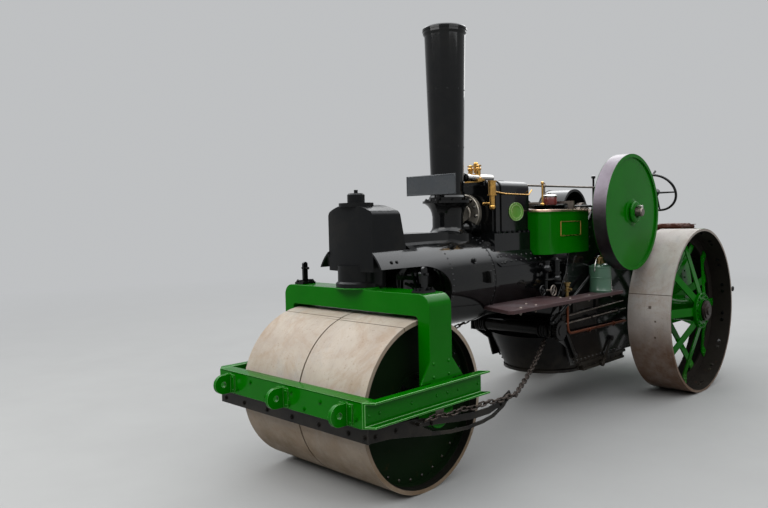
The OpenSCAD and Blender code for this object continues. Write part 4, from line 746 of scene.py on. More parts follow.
def chain_links():
    """Chains from the barrel to the eye of each side arm."""
    tree = chain_tree()
    pitch, first, sag, ripple = 0.048, 0.024, 0.030, 0.006
    chance = random.Random(11)
    for side, name in ((1, "chain_left"), (-1, "chain_right")):
        start = engine(1.760, side * 0.318, 0.750 - side * 0.082)
        corner = front(-0.72, side * 0.736, -0.052)
        eye = front(0.206, side * 0.736, -0.018)
        # slack hangs between the two ends of each run
        path = [start.lerp(corner, k / 20) - UP * (sag * math.sin(math.pi * k / 20)) for k in range(20)]
        path += [corner.lerp(eye, k / 18) + UP * (ripple * math.sin(k * 1.3)) for k in range(19)]
        points, left = [], first
        for a, b in zip(path, path[1:]):
            span = (b - a).length
            while left <= span:
                turn = math.radians(45 + 90 * (len(points) % 2) + chance.uniform(-9, 9))
                points.append((a.lerp(b, left / span), (b - a).normalized(), turn))
                left += pitch
            left -= span
        values = {"Link length": 0.060, "Link width": 0.026, "Wire radius": 0.0062, "Finish": CHAIN}
        me = run_with(tree, point_mesh(points, "turn"), values, name + "_wire")
        own_finish(me, name + "_wire", CHAIN)
        obj = linked(name + "_wire", me)
        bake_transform(obj)
        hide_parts(name)


def roll_fixings():
    for s, body in ((1, "front_roll_left"), (-1, "front_roll_right")):
        fix_ring("rivet", BLACK, front(0, s * 0.486, 0), LEFT * s, 0.47, 28, 0.9, body=body)
        fix_ring("nut", BLACK, front(0, s * 0.500, 0), LEFT * s, 0.165, 8, 1.0, body=body)


# Boiler and smokebox
def boiler_bands():
    """Flat bands round the lagging and the joint of the smokebox, and the smokebox's lug."""
    bands = Piece()
    for x0, x1, r in ((1.80, 1.835, 0.3245), (2.415, 2.452, SMOKEBOX_R + 0.003)):
        bands.turned(band(r - 0.004, r, x0, x1), engine(0, 0, BOILER_Z), AHEAD, 72)
    bands.done("boiler_bands", BLACK)
    angle = 1.49
    at, _ = round_boiler(2.548, angle, SMOKEBOX_R - 0.004)
    down = Vector((0, math.cos(angle), -math.sin(angle)))
    Piece().plate(oblong(0.018, 0.045), at, AHEAD, down, 0.042).done("smokebox_lug", BLACK, edge=0.004)


def boiler_fixings():
    edge = math.acos(0.105 / SADDLE_R)
    for s in SIDES:
        # plugs of the smokebox and bolts of the wing
        for kind, x, y, z, r, size in (("plug", 2.817, 0.221, 0.256, SMOKEBOX_R, 1.0),
                                       ("plug", 2.671, 0.303, 0.150, SMOKEBOX_R, 1.0),
                                       ("bolt", 3.442, 0.276, 0.188, 0.3318, 0.8),
                                       ("bolt", 3.491, 0.276, 0.188, 0.3318, 0.8)):
            away = Vector((0, s * y, z)).normalized()
            fix(kind, BLACK, engine(x, 0, BOILER_Z) + away * r, away, size)
        # double row round the saddle plate's edge
        for k, (inset, shift) in product(range(8), ((0.02, 0), (0.065, 0.034))):
            x, angle = 1.80 + 0.068 * k + shift, edge - inset / SADDLE_R
            fix("rivet", BLACK, *round_boiler(x, s * angle, SADDLE_R), 0.95)
        for t, inset in product([k / 5 for k in range(6)], (0.022, 0.062)):
            angle = edge * (1 - t) + 0.42 * t - 0.03
            fix("rivet", BLACK, *round_boiler(2.415 - inset - 0.06 * (1 - t) ** 2, s * angle, SADDLE_R), 0.95)
        # nuts along the cylinder's foot
        for k in range(7):
            fix("nut", BLACK, engine(1.885 + 0.067 * k, s * 0.255, 1.547), UP, 0.85)
    # smokebox: seam behind the chimney and the front plate's ring
    for x, k in product((2.462, 2.945), range(40)):
        fix("small_rivet", BLACK, *round_boiler(x, -2.3 + 4.6 * k / 39, SMOKEBOX_R))
    # chimney: foot, and the seam's rivets
    fix_ring("nut", BLACK, engine(CHIMNEY_X, 0, 1.803), UP, 0.166, 8, 0.8, 0.2)
    for z, r in ((2.20, 0.1311), (2.62, 0.1417)):
        for p, away in ring(engine(CHIMNEY_X, 0, z), UP, r, 10):
            fix("small_rivet", BLACK, p, away, 0.7)
    # smokebox door's ring
    fix_ring("bolt", BLACK, engine(2.905, 0, 1.172), AHEAD, 0.196, 12, 0.8)


def cylinder_badge():
    """Oval badge with plain rings: round forms of radius 1, drawn out to the oval."""
    x, y, z = 2.045, 0.2435, 1.713
    line_y = 0.0065
    badge = Piece().turned([(0, 0), (1.0, 0), (1.0, 0.004), (0.96, 0.008), (0.92, 0.006), (0, 0.006)],
                           Vector(), LEFT, 56)
    rings = Piece()
    for r in (0.97, 0.72):
        rings.pipe(circle(LEFT * line_y, r, 48), 0.026, 6, loop=True)
    for piece, rise in ((badge, 1.0), (rings, 0.08)):
        for v in piece.bm.verts:
            v.co = engine(x + v.co.x * 0.098, y + line_y + (v.co.y - line_y) * rise, z + v.co.z * 0.073)
    badge.done("badge_plate", BADGE)
    rings.done("badge_rings", BADGE_RIM)
    fix_ring("small_rivet", BADGE_RIM, engine(x, y + line_y, z), LEFT, 0.060, 4, 0.6, 0.8)


def cylinder_details():
    cover_z = 1.706
    fix_ring("nut", BRIGHT, engine(2.392, 0, cover_z), AHEAD, 0.114, 10, 0.8, 0.3)
    cylinder_badge()
    # turned face of the cylinder cover
    Piece().turned([(0, 0.004), (0.030, 0.004), (0.034, 0.010), (0.060, 0.010), (0.066, 0.003),
                    (0.136, 0.003), (0.142, 0.006), (0.1465, 0.002), (0.1465, -0.030), (0.132, -0.034)],
                   engine(2.389, 0, cover_z), AHEAD, 64).done("cover_face", COVER_IRON)
    # exhaust pipe into the chimney's base, and the safety lever's tube beside it
    pipe = Piece()
    pipe.pipe([engine(2.33, 0.085, 1.60), engine(2.40, 0.085, 1.60), engine(2.485, 0.05, 1.60)], 0.036, 20,
              0.03)
    for x in (2.345, 2.44):
        pipe.turned(cheese(0.052, 0, 0.016), engine(x, 0.083, 1.60), AHEAD, 20)
    pipe.done("exhaust_pipe", BLACK, edge=0.002)
    tube = Piece().pipe([engine(2.41, 0.03, 1.983), engine(2.07, 0.03, 1.983)], 0.029, 24)
    tube.pipe([engine(2.20, 0.03, 1.985), engine(2.20, 0.03, 1.955)], 0.012)
    tube.done("spring_tube", BRIGHT)
    stop = Piece().turned([(0, 0.012), (0.018, 0.012), (0.026, 0.006), (0.032, 0.006), (0.034, -0.008),
                           (0.0292, -0.008)], engine(2.411, 0.03, 1.983), AHEAD, 28)
    stop.turned([(0, 0.012), (0.012, 0.010), (0.020, 0.006), (0.022, -0.012), (0, -0.012)],
                engine(2.352, 0.19, 1.93), AHEAD, 20)
    stop.done("tube_end", BLACK)


def headstock_neck():
    """The tapered neck round the pin, between the headstock and the fork's beam."""
    Piece().turned([(0.100, 1.372), (0.156, 1.372), (0.154, 1.36), (0.148, 1.26), (0.149, 1.234),
                    (0.146, 1.2275), (0.100, 1.2275), (0.100, 1.372)],
                   engine(3.483, 0, 0), UP, 56).done("headstock_neck", CASTING)


def chimney_flare():
    """The bell under the chimney's flange."""
    Piece().turned([(0.110, 1.690), (0.1185, 1.690), (0.122, 1.715), (0.132, 1.742), (0.150, 1.766),
                    (0.176, 1.785), (0.110, 1.785), (0.110, 1.690)],
                   engine(CHIMNEY_X, 0, 0), UP, 56).done("chimney_flare", BLACK)


def number_plate_frame():
    """A raised bead round the blank plate."""
    corners = [engine(CHIMNEY_X + 0.196, y, z)
               for y, z in ((-0.231, 1.851), (0.231, 1.851), (0.231, 1.986), (-0.231, 1.986))]
    bead = soft_path(corners + corners[:2], 0.014)[1:-1]
    Piece().pipe(bead, 0.003, 6, loop=True).done("number_plate_bead", PLATE)


# Motion and its covers
def name_plate():
    """A blank plate on the cover, and its brass border."""
    x, z = 1.492, 1.567
    Piece().plate(oblong(0.165, 0.062), engine(x, 0.405, z), AHEAD, UP, -0.004).done("name_plate", GREEN)
    border = Piece()
    ends = [engine(x + dx, 0.4105, z + dz) for dx, dz in oblong(0.160, 0.057)]
    for a, b in zip(ends, ends[1:] + ends[:1]):
        border.pipe([a, b], 0.0045, 8)
    border.done("name_plate_border", BRASS)


def cover_trim():
    """Polished strip round the top of each cover, and its screws."""
    z, bend = 1.715, 0.088
    for s, side in ((1, "left"), (-1, "right")):
        corner = engine(1.792, s * 0.318, z)
        turns = [math.pi / 2 * k / 8 for k in range(9)]
        path = [corner + Vector((bend * math.sin(a), s * bend * math.cos(a), 0)) for a in turns]
        path = [engine(1.20, s * 0.406, z), *path, engine(1.880, s * 0.262, z)]
        Piece().strip(path, 0.020, 0.016, UP).done(f"cover_strip_{side}", STRIP, edge=0.003)
        for x in (1.25, 1.42, 1.59, 1.74):
            fix("small_rivet", GREEN, engine(x, s * 0.406, 1.378), LEFT * s, 0.8)


def crank_guard():
    """Sheet arched over the crank, with its stays to the side plates."""
    crank = engine(CRANK_X, 0, CRANK_Z)
    arch = arc(crank, 0.215, 20, 160, 24)
    guard = Piece().strip(arch, 0.26, 0.004)
    for s in SIDES:
        guard.strip([q + Vector((0, s * 0.128, -0.004)) for q in arch], 0.006, 0.022)
    for q in arc(crank, 0.205, 24, 156, 1):
        guard.pipe([q + Vector((0, y, -0.02)) for y in (-0.386, 0.386)], 0.009, 10)
    guard.done("crank_guard", BLACK)


def motion_details():
    """The red pot on its tray, and the brass standard beside it."""
    x, y, tray_top, pot_top = 1.475, 0.20, 1.764, 1.834
    Piece().turned([(0, 0), (0.062, 0), (0.064, 0.006), (0.064, 0.062), (0.060, 0.070), (0, 0.070)],
                   engine(x, y, tray_top), UP, 32).done("oil_pot", POT, edge=0.002)
    Piece().turned([(0, 0), (0.067, 0), (0.067, 0.010), (0.050, 0.018), (0.014, 0.022), (0.014, 0.034),
                    (0, 0.036)], engine(x, y, pot_top), UP, 32).done("oil_pot_lid", BRIGHT)
    tray = Piece().box(engine(1.36, 0.12, 1.756), engine(1.62, 0.30, tray_top))
    for leg in (1.385, 1.597):
        tray.box(engine(leg - 0.004, 0.13, 1.70), engine(leg + 0.004, 0.29, 1.758))
    tray.box(engine(1.386, 0.282, 1.704), engine(1.596, 0.29, 1.712))
    tray.done("pot_tray", BLACK, edge=0.0015)
    Piece().turned([(0, 0), (0.020, 0), (0.020, 0.010), (0.009, 0.020), (0.008, 0.17), (0.014, 0.178),
                    (0.014, 0.192), (0.006, 0.198), (0, 0.2)],
                   engine(1.583, y, tray_top), UP, 20).done("brass_standard", BRASS)


def flywheel_details():
    """Bare turned tread round the painted wheel, the ring on its boss and the key."""
    y0, y1, r = 0.564, 0.686, 0.4975
    at = engine(CRANK_X, 0, CRANK_Z)
    Piece().turned([(r - 0.002, y0 + 0.0005), (r, y0 + 0.003), (r, y1 - 0.003), (r - 0.002, y1 - 0.0005),
                    (r - 0.002, y0 + 0.0005)], at, LEFT, 144).done("flywheel_tread", RIM_STEEL, "flywheel")
    Piece().turned([(0.050, 0.690), (0.088, 0.690), (0.094, 0.696), (0.094, 0.704), (0.086, 0.712),
                    (0.074, 0.716), (0.050, 0.716), (0.050, 0.690)],
                   at, LEFT, 40).done("flywheel_boss_ring", GREEN, "flywheel")
    key = Piece().box(at + Vector((-0.012, 0.700, 0.034)), at + Vector((0.012, 0.765, 0.058)))
    key.done("flywheel_key", BRIGHT, "flywheel", edge=0.002)


def oil_can():
    """Hooped can with a brass neck and spout, a wire handle and its chained stopper."""
    at = engine(1.175, 0.503, BOARD_TOP)
    can = Piece().turned(
        [(0, 0.004), (0.084, 0.004), (0.086, 0), (0.092, 0), (0.094, 0.006), (0.0945, 0.018), (0.092, 0.022),
         (0.092, 0.115), (0.0945, 0.118), (0.0945, 0.126), (0.092, 0.129), (0.092, 0.204), (0.0945, 0.207),
         (0.0945, 0.216), (0.090, 0.222), (0.052, 0.240), (0.044, 0.244), (0, 0.244)], at, UP, 48)
    can = can.done("oil_can_body", CAN)
    neck = Piece().turned([(0, 0.242), (0.042, 0.242), (0.042, 0.268), (0.046, 0.270), (0.046, 0.290),
                           (0.040, 0.294), (0.012, 0.298), (0.010, 0.312), (0, 0.314)], at, UP, 32)
    spout = ((0.03, 0.02, 0.236), (0.075, 0.05, 0.262), (0.098, 0.066, 0.300))
    neck.pipe([at + Vector(p) for p in spout], [0.012, 0.010, 0.006])
    neck.done("oil_can_neck", DULL_BRASS)
    ear, rise = Vector((0.094, 0, 0.185)), 0.125
    turns = [math.pi * k / 20 for k in range(21)]
    wire = Piece().pipe([at + Vector((ear.x * math.cos(a), 0, ear.z + rise * math.sin(a))) for a in turns],
                        0.0035, 8)
    for s in SIDES:
        wire.turned(cheese(0.008, -0.003, 0.003), at + Vector((s * ear.x, 0, ear.z)), AHEAD, 12)
    # the stopper's chain down the side
    top, foot = at + Vector((-0.035, 0.03, 0.282)), at + Vector((-0.082, 0.062, 0.012))
    for k in range(26):
        bow = math.sin(math.pi * k / 25)
        q = top.lerp(foot, k / 25) + Vector((-0.012 * bow, 0.010 * bow, 0))
        wire.turned([(0.0034, -0.0013), (0.0052, 0), (0.0034, 0.0013), (0.0020, 0), (0.0034, -0.0013)],
                    q, (1, 0, 0.2) if k % 2 else (0, 1, 0.2), 8)
    wire.done("oil_can_wire", BRIGHT)
    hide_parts("oil_can")


def feed_pipe():
    """Copper feed pipe along the side plate, up through the board to its brass cock."""
    y, back, ahead, r = 0.432, 0.56, 1.600, 0.0125
    pipe = Piece().pipe([engine(back, 0.404, 0.690), engine(back, y, 0.690), engine(ahead, y, 0.704),
                         engine(ahead, y, 0.985)], r, 16, bend=0.075)
    for x in (0.80, 1.25):
        pipe.turned(band(r, 0.019, -0.012, 0.012), engine(x, y, 0.6935), AHEAD, 18)
    pipe = pipe.done("feed_pipe", COPPER)
    cock = Piece().turned(
        [(0, -0.040), (0.018, -0.040), (0.019, -0.012), (0.0135, -0.006), (0.0135, 0.030), (0.024, 0.034),
         (0.024, 0.044), (0.015, 0.050), (0.015, 0.074), (0.022, 0.080), (0.022, 0.098), (0.030, 0.100),
         (0.030, 0.108), (0.008, 0.112), (0, 0.112)], engine(ahead, y, BOARD_TOP), UP)
    cock.pipe([engine(ahead, y, 1.072), engine(ahead, y + 0.040, 1.072)], 0.011, 14)
    cock.done("feed_cock", DULL_BRASS)
    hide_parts("copper_pipe")


# Side plates, boards and belly
def side_plate_fixings():
    for s in SIDES:
        out = LEFT * s
        # rows along the plate's edges: two ends and a count
        for a, b, count in (((-0.14, 0.60), (-0.14, 1.22), 9), ((-0.14, 1.235), (0.2, 1.30), 5),
                            ((0.24, 1.325), (0.60, 1.575), 7), ((0.45, 0.445), (1.46, 0.445), 16),
                            ((1.545, 1.19), (1.765, 0.87), 6), ((1.15, 1.645), (1.17, 1.40), 4)):
            for q in row((a[0], 0, a[1]), (b[0], 0, b[1]), count):
                under_gear_cover = s < 0 and 0.36 < q.x < 1.1 and q.z > 1.16
                if not under_gear_cover:
                    fix("rivet", BLACK, engine(q.x, s * HORN_Y, q.z), out, 0.95)
        for x, z in ((-0.115, 0.63), (0.115, 0.63), (-0.115, 0.894), (0.115, 0.894)):
            fix("nut", BLACK, engine(x, s * 0.422, z), out, 1.3)
        if s > 0:
            for x, z in ((0.845, 1.735), (0.999, 1.735), (0.845, 1.64), (0.999, 1.64)):
                fix("nut", BLACK, engine(x, 0.450, z), out, 1.2)
        # stays of the firebox through the side plate
        for x, z in product([0.62 + 0.11 * k for k in range(8)], [0.66 + 0.105 * k for k in range(5)]):
            if z <= 0.93 or x <= 1.2:
                fix("small_rivet", BLACK, engine(x, s * HORN_Y, z), out, 1.2)
        for x in (1.740, 2.235):
            fix("coach_bolt", STEEL, engine(x, s * 0.45, BOARD_TOP), UP, 0.9)
        for x in (1.06, 1.45, 1.755, 2.25, 2.45):
            fix("coach_bolt", STEEL, engine(x, s * 0.545, BOARD_TOP), UP, 0.9)
            fix("nut", STEEL, engine(x, s * 0.545, BOARD_TOP - 0.040), -UP, 0.7)


def ash_pan_details():
    """Damper levers, their rods and stays under the boards."""
    bars = Piece()
    rods = Piece()
    for s in SIDES:
        side = s * 0.418
        for a, b in (((1.640, 0.790), (1.455, 0.500)), ((0.80, 0.560), (0.98, 0.355))):
            bars.strip([engine(a[0], side, a[1]), engine(b[0], side, b[1])], 0.010, 0.034)
            for x, z in (a, b):
                bars.turned([(0, -0.012), (0.024, -0.012), (0.024, 0.010), (0.012, 0.014), (0, 0.014)],
                            engine(x, side, z), LEFT * s, 20)
            bars.pipe([engine(b[0], s * 0.392, b[1]), engine(b[0], s * 0.436, b[1])], 0.010)
        rods.pipe([engine(1.640, s * 0.432, 0.790), engine(0.560, s * 0.432, 0.806)], 0.0065, 8)
        rods.pipe([engine(1.600, s * 0.428, 0.850), engine(0.600, s * 0.428, 0.880)], 0.0055, 8)
        y0, y1 = sorted((s * 0.398, s * 0.44))
        for x in (1.2, 0.7):
            bars.box(engine(x - 0.014, y0, 0.790), engine(x + 0.014, y1, 0.815))
    bars.done("damper_levers", GREASY, edge=0.0015)
    rods.done("damper_rods", STEEL, slot="polished_steel")
    for s, k in product(SIDES, range(9)):
        fix("rivet", GREASY, engine(0.56 + 0.1 * k, s * 0.386, 0.372), LEFT * s, 0.9)


def frame_flanges():
    """The wide top flange of the front channel, back towards the rolls."""
    flange = Piece().box(front(0.545, -0.688, 0.159), front(0.640, 0.688, 0.1668))
    flange.done("channel_flange", GREEN, "front_fork", edge=0.002)


def rear_scraper_bar():
    """Cross bar behind the tender, with an eye at each end and its two brackets."""
    z, bracket_y = 0.852, 0.36
    bar = Piece().box(engine(-1.232, -0.772, z - 0.014), engine(-1.1985, 0.772, z + 0.014))
    for s in SIDES:
        bar.pipe(circle(engine(-1.2155, s * 0.786, z), 0.020, 20), 0.009, 8, loop=True)
        bar.box(engine(-1.2045, s * bracket_y - 0.035, 0.80), engine(-1.1895, s * bracket_y + 0.035, 0.904))
    bar.done("rear_scraper_bar", GREASY, edge=0.002)
    for s, dz in product(SIDES, (-0.036, 0.036)):
        fix("nut", GREASY, engine(-1.2045, s * bracket_y, z + dz), -AHEAD, 0.7)


def side_valve_wheel():
    """Spoked hand wheel of the stop valve beside the board."""
    at = engine(1.86, 0.462, 1.085)
    wheel = Piece().pipe(circle(at, 0.040, 28), 0.0055, 8, loop=True)
    for end in circle(at, 0.038, 4, 0.4):
        wheel.pipe([at, end], 0.004, 8)
    wheel.pipe([engine(1.86, HORN_Y, 1.085), at + LEFT * 0.010], 0.009)
    wheel.done("stop_valve_wheel", STEEL)


# Rear wheels
def rear_wheel_details():
    axle = Vector((REAR_X, 0, REAR_R))
    mid = 0.7385
    for s, body in ((1, "rear_wheel_left"), (-1, "rear_wheel_right")):
        on_wheel = partial(fix, body=body)
        out = LEFT * s
        # rivets of the outer and inner spokes' feet on the rim's ring, and nuts at the hub
        for facing, foot_y, hub_y, turn in ((out, mid + 0.020, 0.920, 0.0), (-out, mid - 0.020, 0.553, 0.5)):
            for k in range(8):
                a = TURN * (k + turn) / 8
                along = Vector((math.cos(a), 0, -math.sin(a)))
                across = Vector((math.sin(a), 0, math.cos(a)))
                for r, t in ((0.640, 0), (0.672, 0.022), (0.672, -0.022), (0.702, 0)):
                    on_wheel("rivet", GREEN, axle + along * r + across * t + out * foot_y, facing, 0.95)
                for t in (0.018, -0.018):
                    on_wheel("nut", GREEN, axle + along * 0.140 + across * t + out * hub_y, facing, 0.8)
        # bolts through the rim, in pairs, seen inside it
        for k, turn, y in product(range(16), (-0.045, 0.045), (mid + 0.11, mid - 0.11)):
            a = TURN * (k + 0.5) / 16 + turn
            away = Vector((math.cos(a), 0, math.sin(a)))
            on_wheel("bolt", BLACK, axle + away * 0.738 + out * y, -away, 0.9)
        cap = Piece().turned([(0.057, 0.940), (0.098, 0.940), (0.104, 0.936), (0.104, 0.926), (0.057, 0.926),
                              (0.057, 0.940)], axle, out, 48)
        y = 0.9205
        for r in (0.160, 0.128):
            cap.turned([(r - 0.004, y), (r + 0.004, y), (r + 0.002, y + 0.004), (r - 0.002, y + 0.004),
                        (r - 0.004, y)], axle, out, 56)
        cap.done(body + "_hub_rings", GREEN, body)


# Driver's place and tender
def fill_with_pressure(obj):
    """Blows the pad up as cloth, with no weight, for twenty steps."""
    cloth = obj.modifiers.new("fill", "CLOTH").settings
    cloth.quality = 6
    cloth.use_pressure = True
    cloth.uniform_pressure_force = 4.0
    cloth.effector_weights.gravity = 0.0
    cloth.tension_stiffness = 18
    cloth.compression_stiffness = 18
    for step in range(1, 21):
        bpy.context.scene.frame_set(step)
    worked(obj)
    bpy.context.scene.frame_set(1)


def seat_cushion():
    """Buttoned leather pad on the seat board, filled out by cloth pressure."""
    (x0, y0, z0), (x1, y1, z1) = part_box("driver_seat")
    bm = bmesh.new()
    bmesh.ops.create_cube(bm, size=1.0)
    for v in bm.verts:
        v.co = Vector(((x0 + x1) / 2 + v.co.x * (x1 - x0 - 0.016), (y0 + y1) / 2 + v.co.y * (y1 - y0 - 0.016),
                       (z0 + z1) / 2 - 0.003 + v.co.z * (z1 - z0 - 0.022)))
    bmesh.ops.bevel(bm, geom=bm.edges[:], offset=0.016, segments=4, profile=0.5, affect="EDGES")
    me = bpy.data.meshes.new("seat_cushion")
    bm.to_mesh(me)
    bm.free()
    obj = linked("seat_cushion", me)
    grain = obj.modifiers.new("even", "REMESH")
    grain.mode = "VOXEL"
    grain.voxel_size = 0.0055
    rest = [v.co.copy() for v in worked(obj).vertices]
    fill_with_pressure(obj)
    me = obj.data
    furthest, button_r, button_depth = 0.02, 0.020, 0.014
    buttons = [(x0 + (x1 - x0) * (i + 0.5) / 4, y0 + (y1 - y0) * (j + 0.5) / 3)
               for i, j in product(range(4), range(3))]
    for v, was in zip(me.vertices, rest):
        move = v.co - was
        if move.length > furthest:
            v.co = was + move.normalized() * furthest
        if was.z > z1 - 0.03:
            for bx, by in buttons:
                away = math.hypot(was.x - bx, was.y - by)
                v.co.z -= button_depth * math.exp(-(away / button_r) ** 2)
        v.co.x = min(max(v.co.x, x0), x1)
        v.co.y = min(max(v.co.y, y0), y1)
        v.co.z = min(max(v.co.z, z0 + 0.0005), z1 + 0.012)
    own_finish(me, "seat_cushion", LEATHER)
    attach(obj, "engine")
    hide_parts("driver_seat")
    # piping round three corners, closed inside the pad
    piping = Piece()
    xa, xb, ya, yb = x0 + 0.006, x1 - 0.006, y0 + 0.006, y1 - 0.006
    for z in (z0 + 0.006, z1 - 0.010):
        corners = [(xa, ya, z), (xb, ya, z), (xb, yb, z), (xa, yb, z), (xa, ya, z)]
        piping.pipe(soft_path(corners, 0.02)[1:-1], 0.0035, 6, loop=True)
    piping.done("seat_piping", LEATHER)
    for bx, by in buttons:
        fix("small_rivet", LEATHER, (bx, by, z1 - 0.008), UP, 1.1)


def backhead():
    """Gauges, cocks and levers in front of the driver."""
    levers, brass, glasses = Piece(), Piece(), Piece()
    plate_x, glass_x = 0.498, 0.442
    for s in SIDES:
        y = s * 0.15
        for z in (1.265, 1.395):
            brass.pipe([engine(plate_x, y, z), engine(0.430, y, z)], 0.012)
            brass.turned([(0, -0.02), (0.016, -0.018), (0.017, 0.018), (0, 0.02)], engine(glass_x, y, z),
                         UP, 16)
            brass.pipe([engine(glass_x, y, z), engine(glass_x, s * 0.20, z)], 0.006, 8)
        glasses.pipe([engine(glass_x, y, 1.28), engine(glass_x, y, 1.38)], 0.008)
    dial = engine(0.44, 0, 1.45)
    brass.turned([(0, 0), (0.080, 0), (0.084, 0.008), (0.084, 0.030), (0.076, 0.034), (0.072, 0.028),
                  (0, 0.028)], dial, -AHEAD, 40)
    glasses.turned(cheese(0.071, 0.0285, 0.0295), dial, -AHEAD, 36)
    levers.pipe([dial, engine(plate_x, 0, 1.45)], 0.012)
    needle = [dial + Vector((-0.031, y, z)) for y, z in ((0.0, -0.012), (0.034, 0.040))]
    levers.strip(needle, 0.005, 0.002, AHEAD)
    # regulator handle over the firebox
    levers.pipe([engine(0.52, 0.10, 1.93), engine(0.52, 0.10, 2.02)], 0.010)
    levers.turned([(0, -0.02), (0.02, -0.006), (0.02, 0.012), (0, 0.024)], engine(0.52, 0.10, 2.03), UP, 18)
    levers.pipe([engine(0.52, 0.10, 1.94), engine(0.52, 0.10, 1.505)], 0.012)
    levers.turned([(0, 0), (0.04, 0), (0.04, 0.012), (0.016, 0.022), (0, 0.022)], engine(0.52, 0.10, 1.492),
                  UP, 20)
    # reversing lever and its quadrant on the right side plate
    pivot = engine(0.17, -0.421, 1.20)
    quadrant = arc(pivot, 0.33, 58, 122, 16)
    levers.strip(quadrant, 0.010, 0.030)
    for q in (quadrant[0], quadrant[-1]):
        levers.strip([q, pivot.lerp(q, 0.2)], 0.010, 0.028)
    levers.turned([(0, -0.021), (0.034, -0.021), (0.034, 0.010), (0.022, 0.022), (0, 0.022)],
                  pivot, -LEFT, 24)
    levers.strip([pivot + Vector((0, -0.018, 0)), pivot + Vector((0.13, -0.018, 0.52))], 0.010, 0.034)
    levers.done("backhead_levers", BLACK)
    grip = [pivot + Vector((0.127, -0.018, 0.50)), pivot + Vector((0.155, -0.018, 0.62))]
    Piece().pipe(grip, 0.013, 14).done("reversing_handle", BRIGHT)
    brass.done("backhead_brass", BRASS)
    glasses.done("gauge_faces", GLASS)
    # rivets round the fire hole, where the hinge leaves room
    for place, _ in ring(engine(plate_x + 0.002, 0, 1.06), AHEAD, 0.19, 12, 0.1):
        if place.y < 0.12:
            fix("small_rivet", BLACK, place, -AHEAD, 1.3)


def tender_fixings():
    on_tender = partial(fix, "rivet", GREEN, size=1.1)
    heights, side_y, back_x = (0.60, 1.455), 0.5, -1.19
    for s in SIDES:
        out = LEFT * s
        for z in heights:
            for q in row((-1.165, 0, z), (-0.30, 0, z), 14):
                on_tender(engine(q.x, s * side_y, q.z), out)
        for x in (-1.165, -0.655):
            for q in row((x, 0, 0.66), (x, 0, 1.42), 12):
                on_tender(engine(q.x, s * side_y, q.z), out)
    for z in heights:
        for q in row((0, -0.46, z), (0, 0.46, z), 14):
            on_tender(engine(back_x, q.y, q.z), -AHEAD)
    for s in SIDES:
        for q in row((0, s * 0.465, 0.66), (0, s * 0.465, 1.40), 11):
            on_tender(engine(back_x, q.y, q.z), -AHEAD)
    # nuts of the drawbar's plate
    for y, z in product((-0.095, 0.095), (0.595, 0.705)):
        fix("nut", BLACK, engine(-1.206, y, z), -AHEAD, 1.1)


for make in (wear_edges, fork_fixings, chain_links, roll_fixings, boiler_bands, boiler_fixings,
             cylinder_details, number_plate_frame, name_plate, cover_trim, crank_guard, motion_details,
             oil_can, feed_pipe, flywheel_details, headstock_neck, chimney_flare, frame_flanges,
             side_valve_wheel, rear_scraper_bar, side_plate_fixings, ash_pan_details, rear_wheel_details,
             seat_cushion, backhead, tender_fixings, set_fixings):
    make()


# Camera, floor and light
def look():
    """The camera at the photograph's angle, from its heading, dip and lean."""
    yaw, pitch, roll = (math.radians(a) for a in (224.66, -2.82, -1.27))
    ahead = Vector((math.cos(yaw) * math.cos(pitch), math.sin(yaw) * math.cos(pitch), math.sin(pitch)))
    right = ahead.cross(UP).normalized()
    up = right.cross(ahead)
    side = math.cos(roll) * right + math.sin(roll) * up
    top = -math.sin(roll) * right + math.cos(roll) * up
    cam = linked("camera", bpy.data.cameras.new("camera"))
    turn = Matrix((side, top, -ahead)).transposed().to_4x4()
    cam.matrix_world = Matrix.Translation((5.1955, 3.371, 1.673)) @ turn
    cam.data.sensor_width = 36.0
    cam.data.lens = 32.74
    cam.data.clip_end = 200
    bpy.context.scene.camera = cam


def lamp(name, at, aim, size, power, colour=(1, 1, 1)):
    light = bpy.data.lights.new(name, "AREA")
    light.shape = "RECTANGLE"
    light.size, light.size_y = size
    light.energy = power
    light.color = colour
    obj = linked(name, light)
    obj.location = at
    obj.rotation_euler = (Vector(aim) - Vector(at)).to_track_quat("-Z", "Y").to_euler()


BACKDROP = (0.52, 0.53, 0.54)


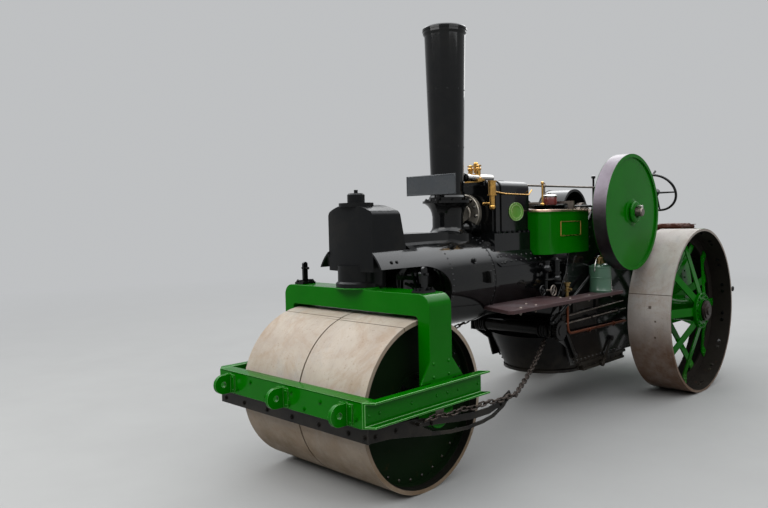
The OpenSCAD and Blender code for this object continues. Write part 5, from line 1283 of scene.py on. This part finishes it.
def surroundings():
    """An overcast sky for the light, and the backdrop for what is seen directly."""
    world = bpy.data.worlds.new("studio")
    bpy.context.scene.world = world
    world.use_nodes = True
    t = Tree(world.node_tree)
    t.tree.nodes.clear()
    facing = t.node("ShaderNodeTexCoord").outputs["Generated"]
    height = t.node("ShaderNodeSeparateXYZ", {0: facing}).outputs[2]
    # dim at eye level and bright above
    sky = t.node("ShaderNodeValToRGB", {0: height})
    stops = sky.color_ramp.elements
    stops[0].position, stops[0].color = 0.0, (0.035, 0.035, 0.032, 1)
    stops[1].position, stops[1].color = 0.62, (0.96, 0.98, 1.0, 1)
    stops.new(0.22).color = (0.040, 0.042, 0.040, 1)
    stops.new(0.44).color = (0.26, 0.27, 0.275, 1)
    back = t.node("ShaderNodeBackground", {"Color": sky.outputs[0], "Strength": 1.45})
    # the backdrop grows brighter overhead, from a third of the way up
    overhead = t.between(height, 0.36, 0.60, 1.0, 8.0)
    seen = t.node("ShaderNodeBackground", {"Color": BACKDROP, "Strength": overhead})
    blend = t.node("ShaderNodeMixShader", {0: t.seen_directly(), 1: back.outputs[0], 2: seen.outputs[0]})
    t.node("ShaderNodeOutputWorld", {0: blend.outputs[0]})


def plain_floor():
    """A pale floor that fades into the backdrop far from the machine."""
    half = 60
    me = bpy.data.meshes.new("floor")
    me.from_pydata([(x, y, 0) for x, y in oblong(half, half)], [], [(0, 1, 2, 3)])
    floor = linked("floor", me)
    f = Finish("plain_floor", specular=0.1)
    f.done(f.mix(f.noise(1.5, 4), (0.33, 0.33, 0.326), (0.37, 0.37, 0.366)), 0.75)
    far = f.between(f.length(f.axis(0), f.axis(1)), 5.0, 16.0)
    glow = f.node("ShaderNodeEmission", {"Color": BACKDROP})
    merge = f.node("ShaderNodeMixShader", {0: f.math("MULTIPLY", far, f.seen_directly()),
                                           1: f.surface.outputs[0], 2: glow.outputs[0]})
    f.put(merge.outputs[0], f.out.inputs["Surface"])
    me.materials.append(f.mat)


look()
surroundings()
lamp("key", (8.0, -1.5, 6.5), (0.6, 0, 0.6), (7, 4), 375, (1.0, 0.99, 0.97))
lamp("fill", (1.0, 9.0, 6.5), (-0.2, 0, 0.7), (9, 3.4), 200, (0.98, 0.99, 1.0))
lamp("back", (-8.0, -4.0, 6.5), (-0.5, 0, 1.0), (7, 5), 200)
plain_floor()

bpy.context.view_layer.update()
bpy.context.scene.view_settings.view_transform = "Standard"
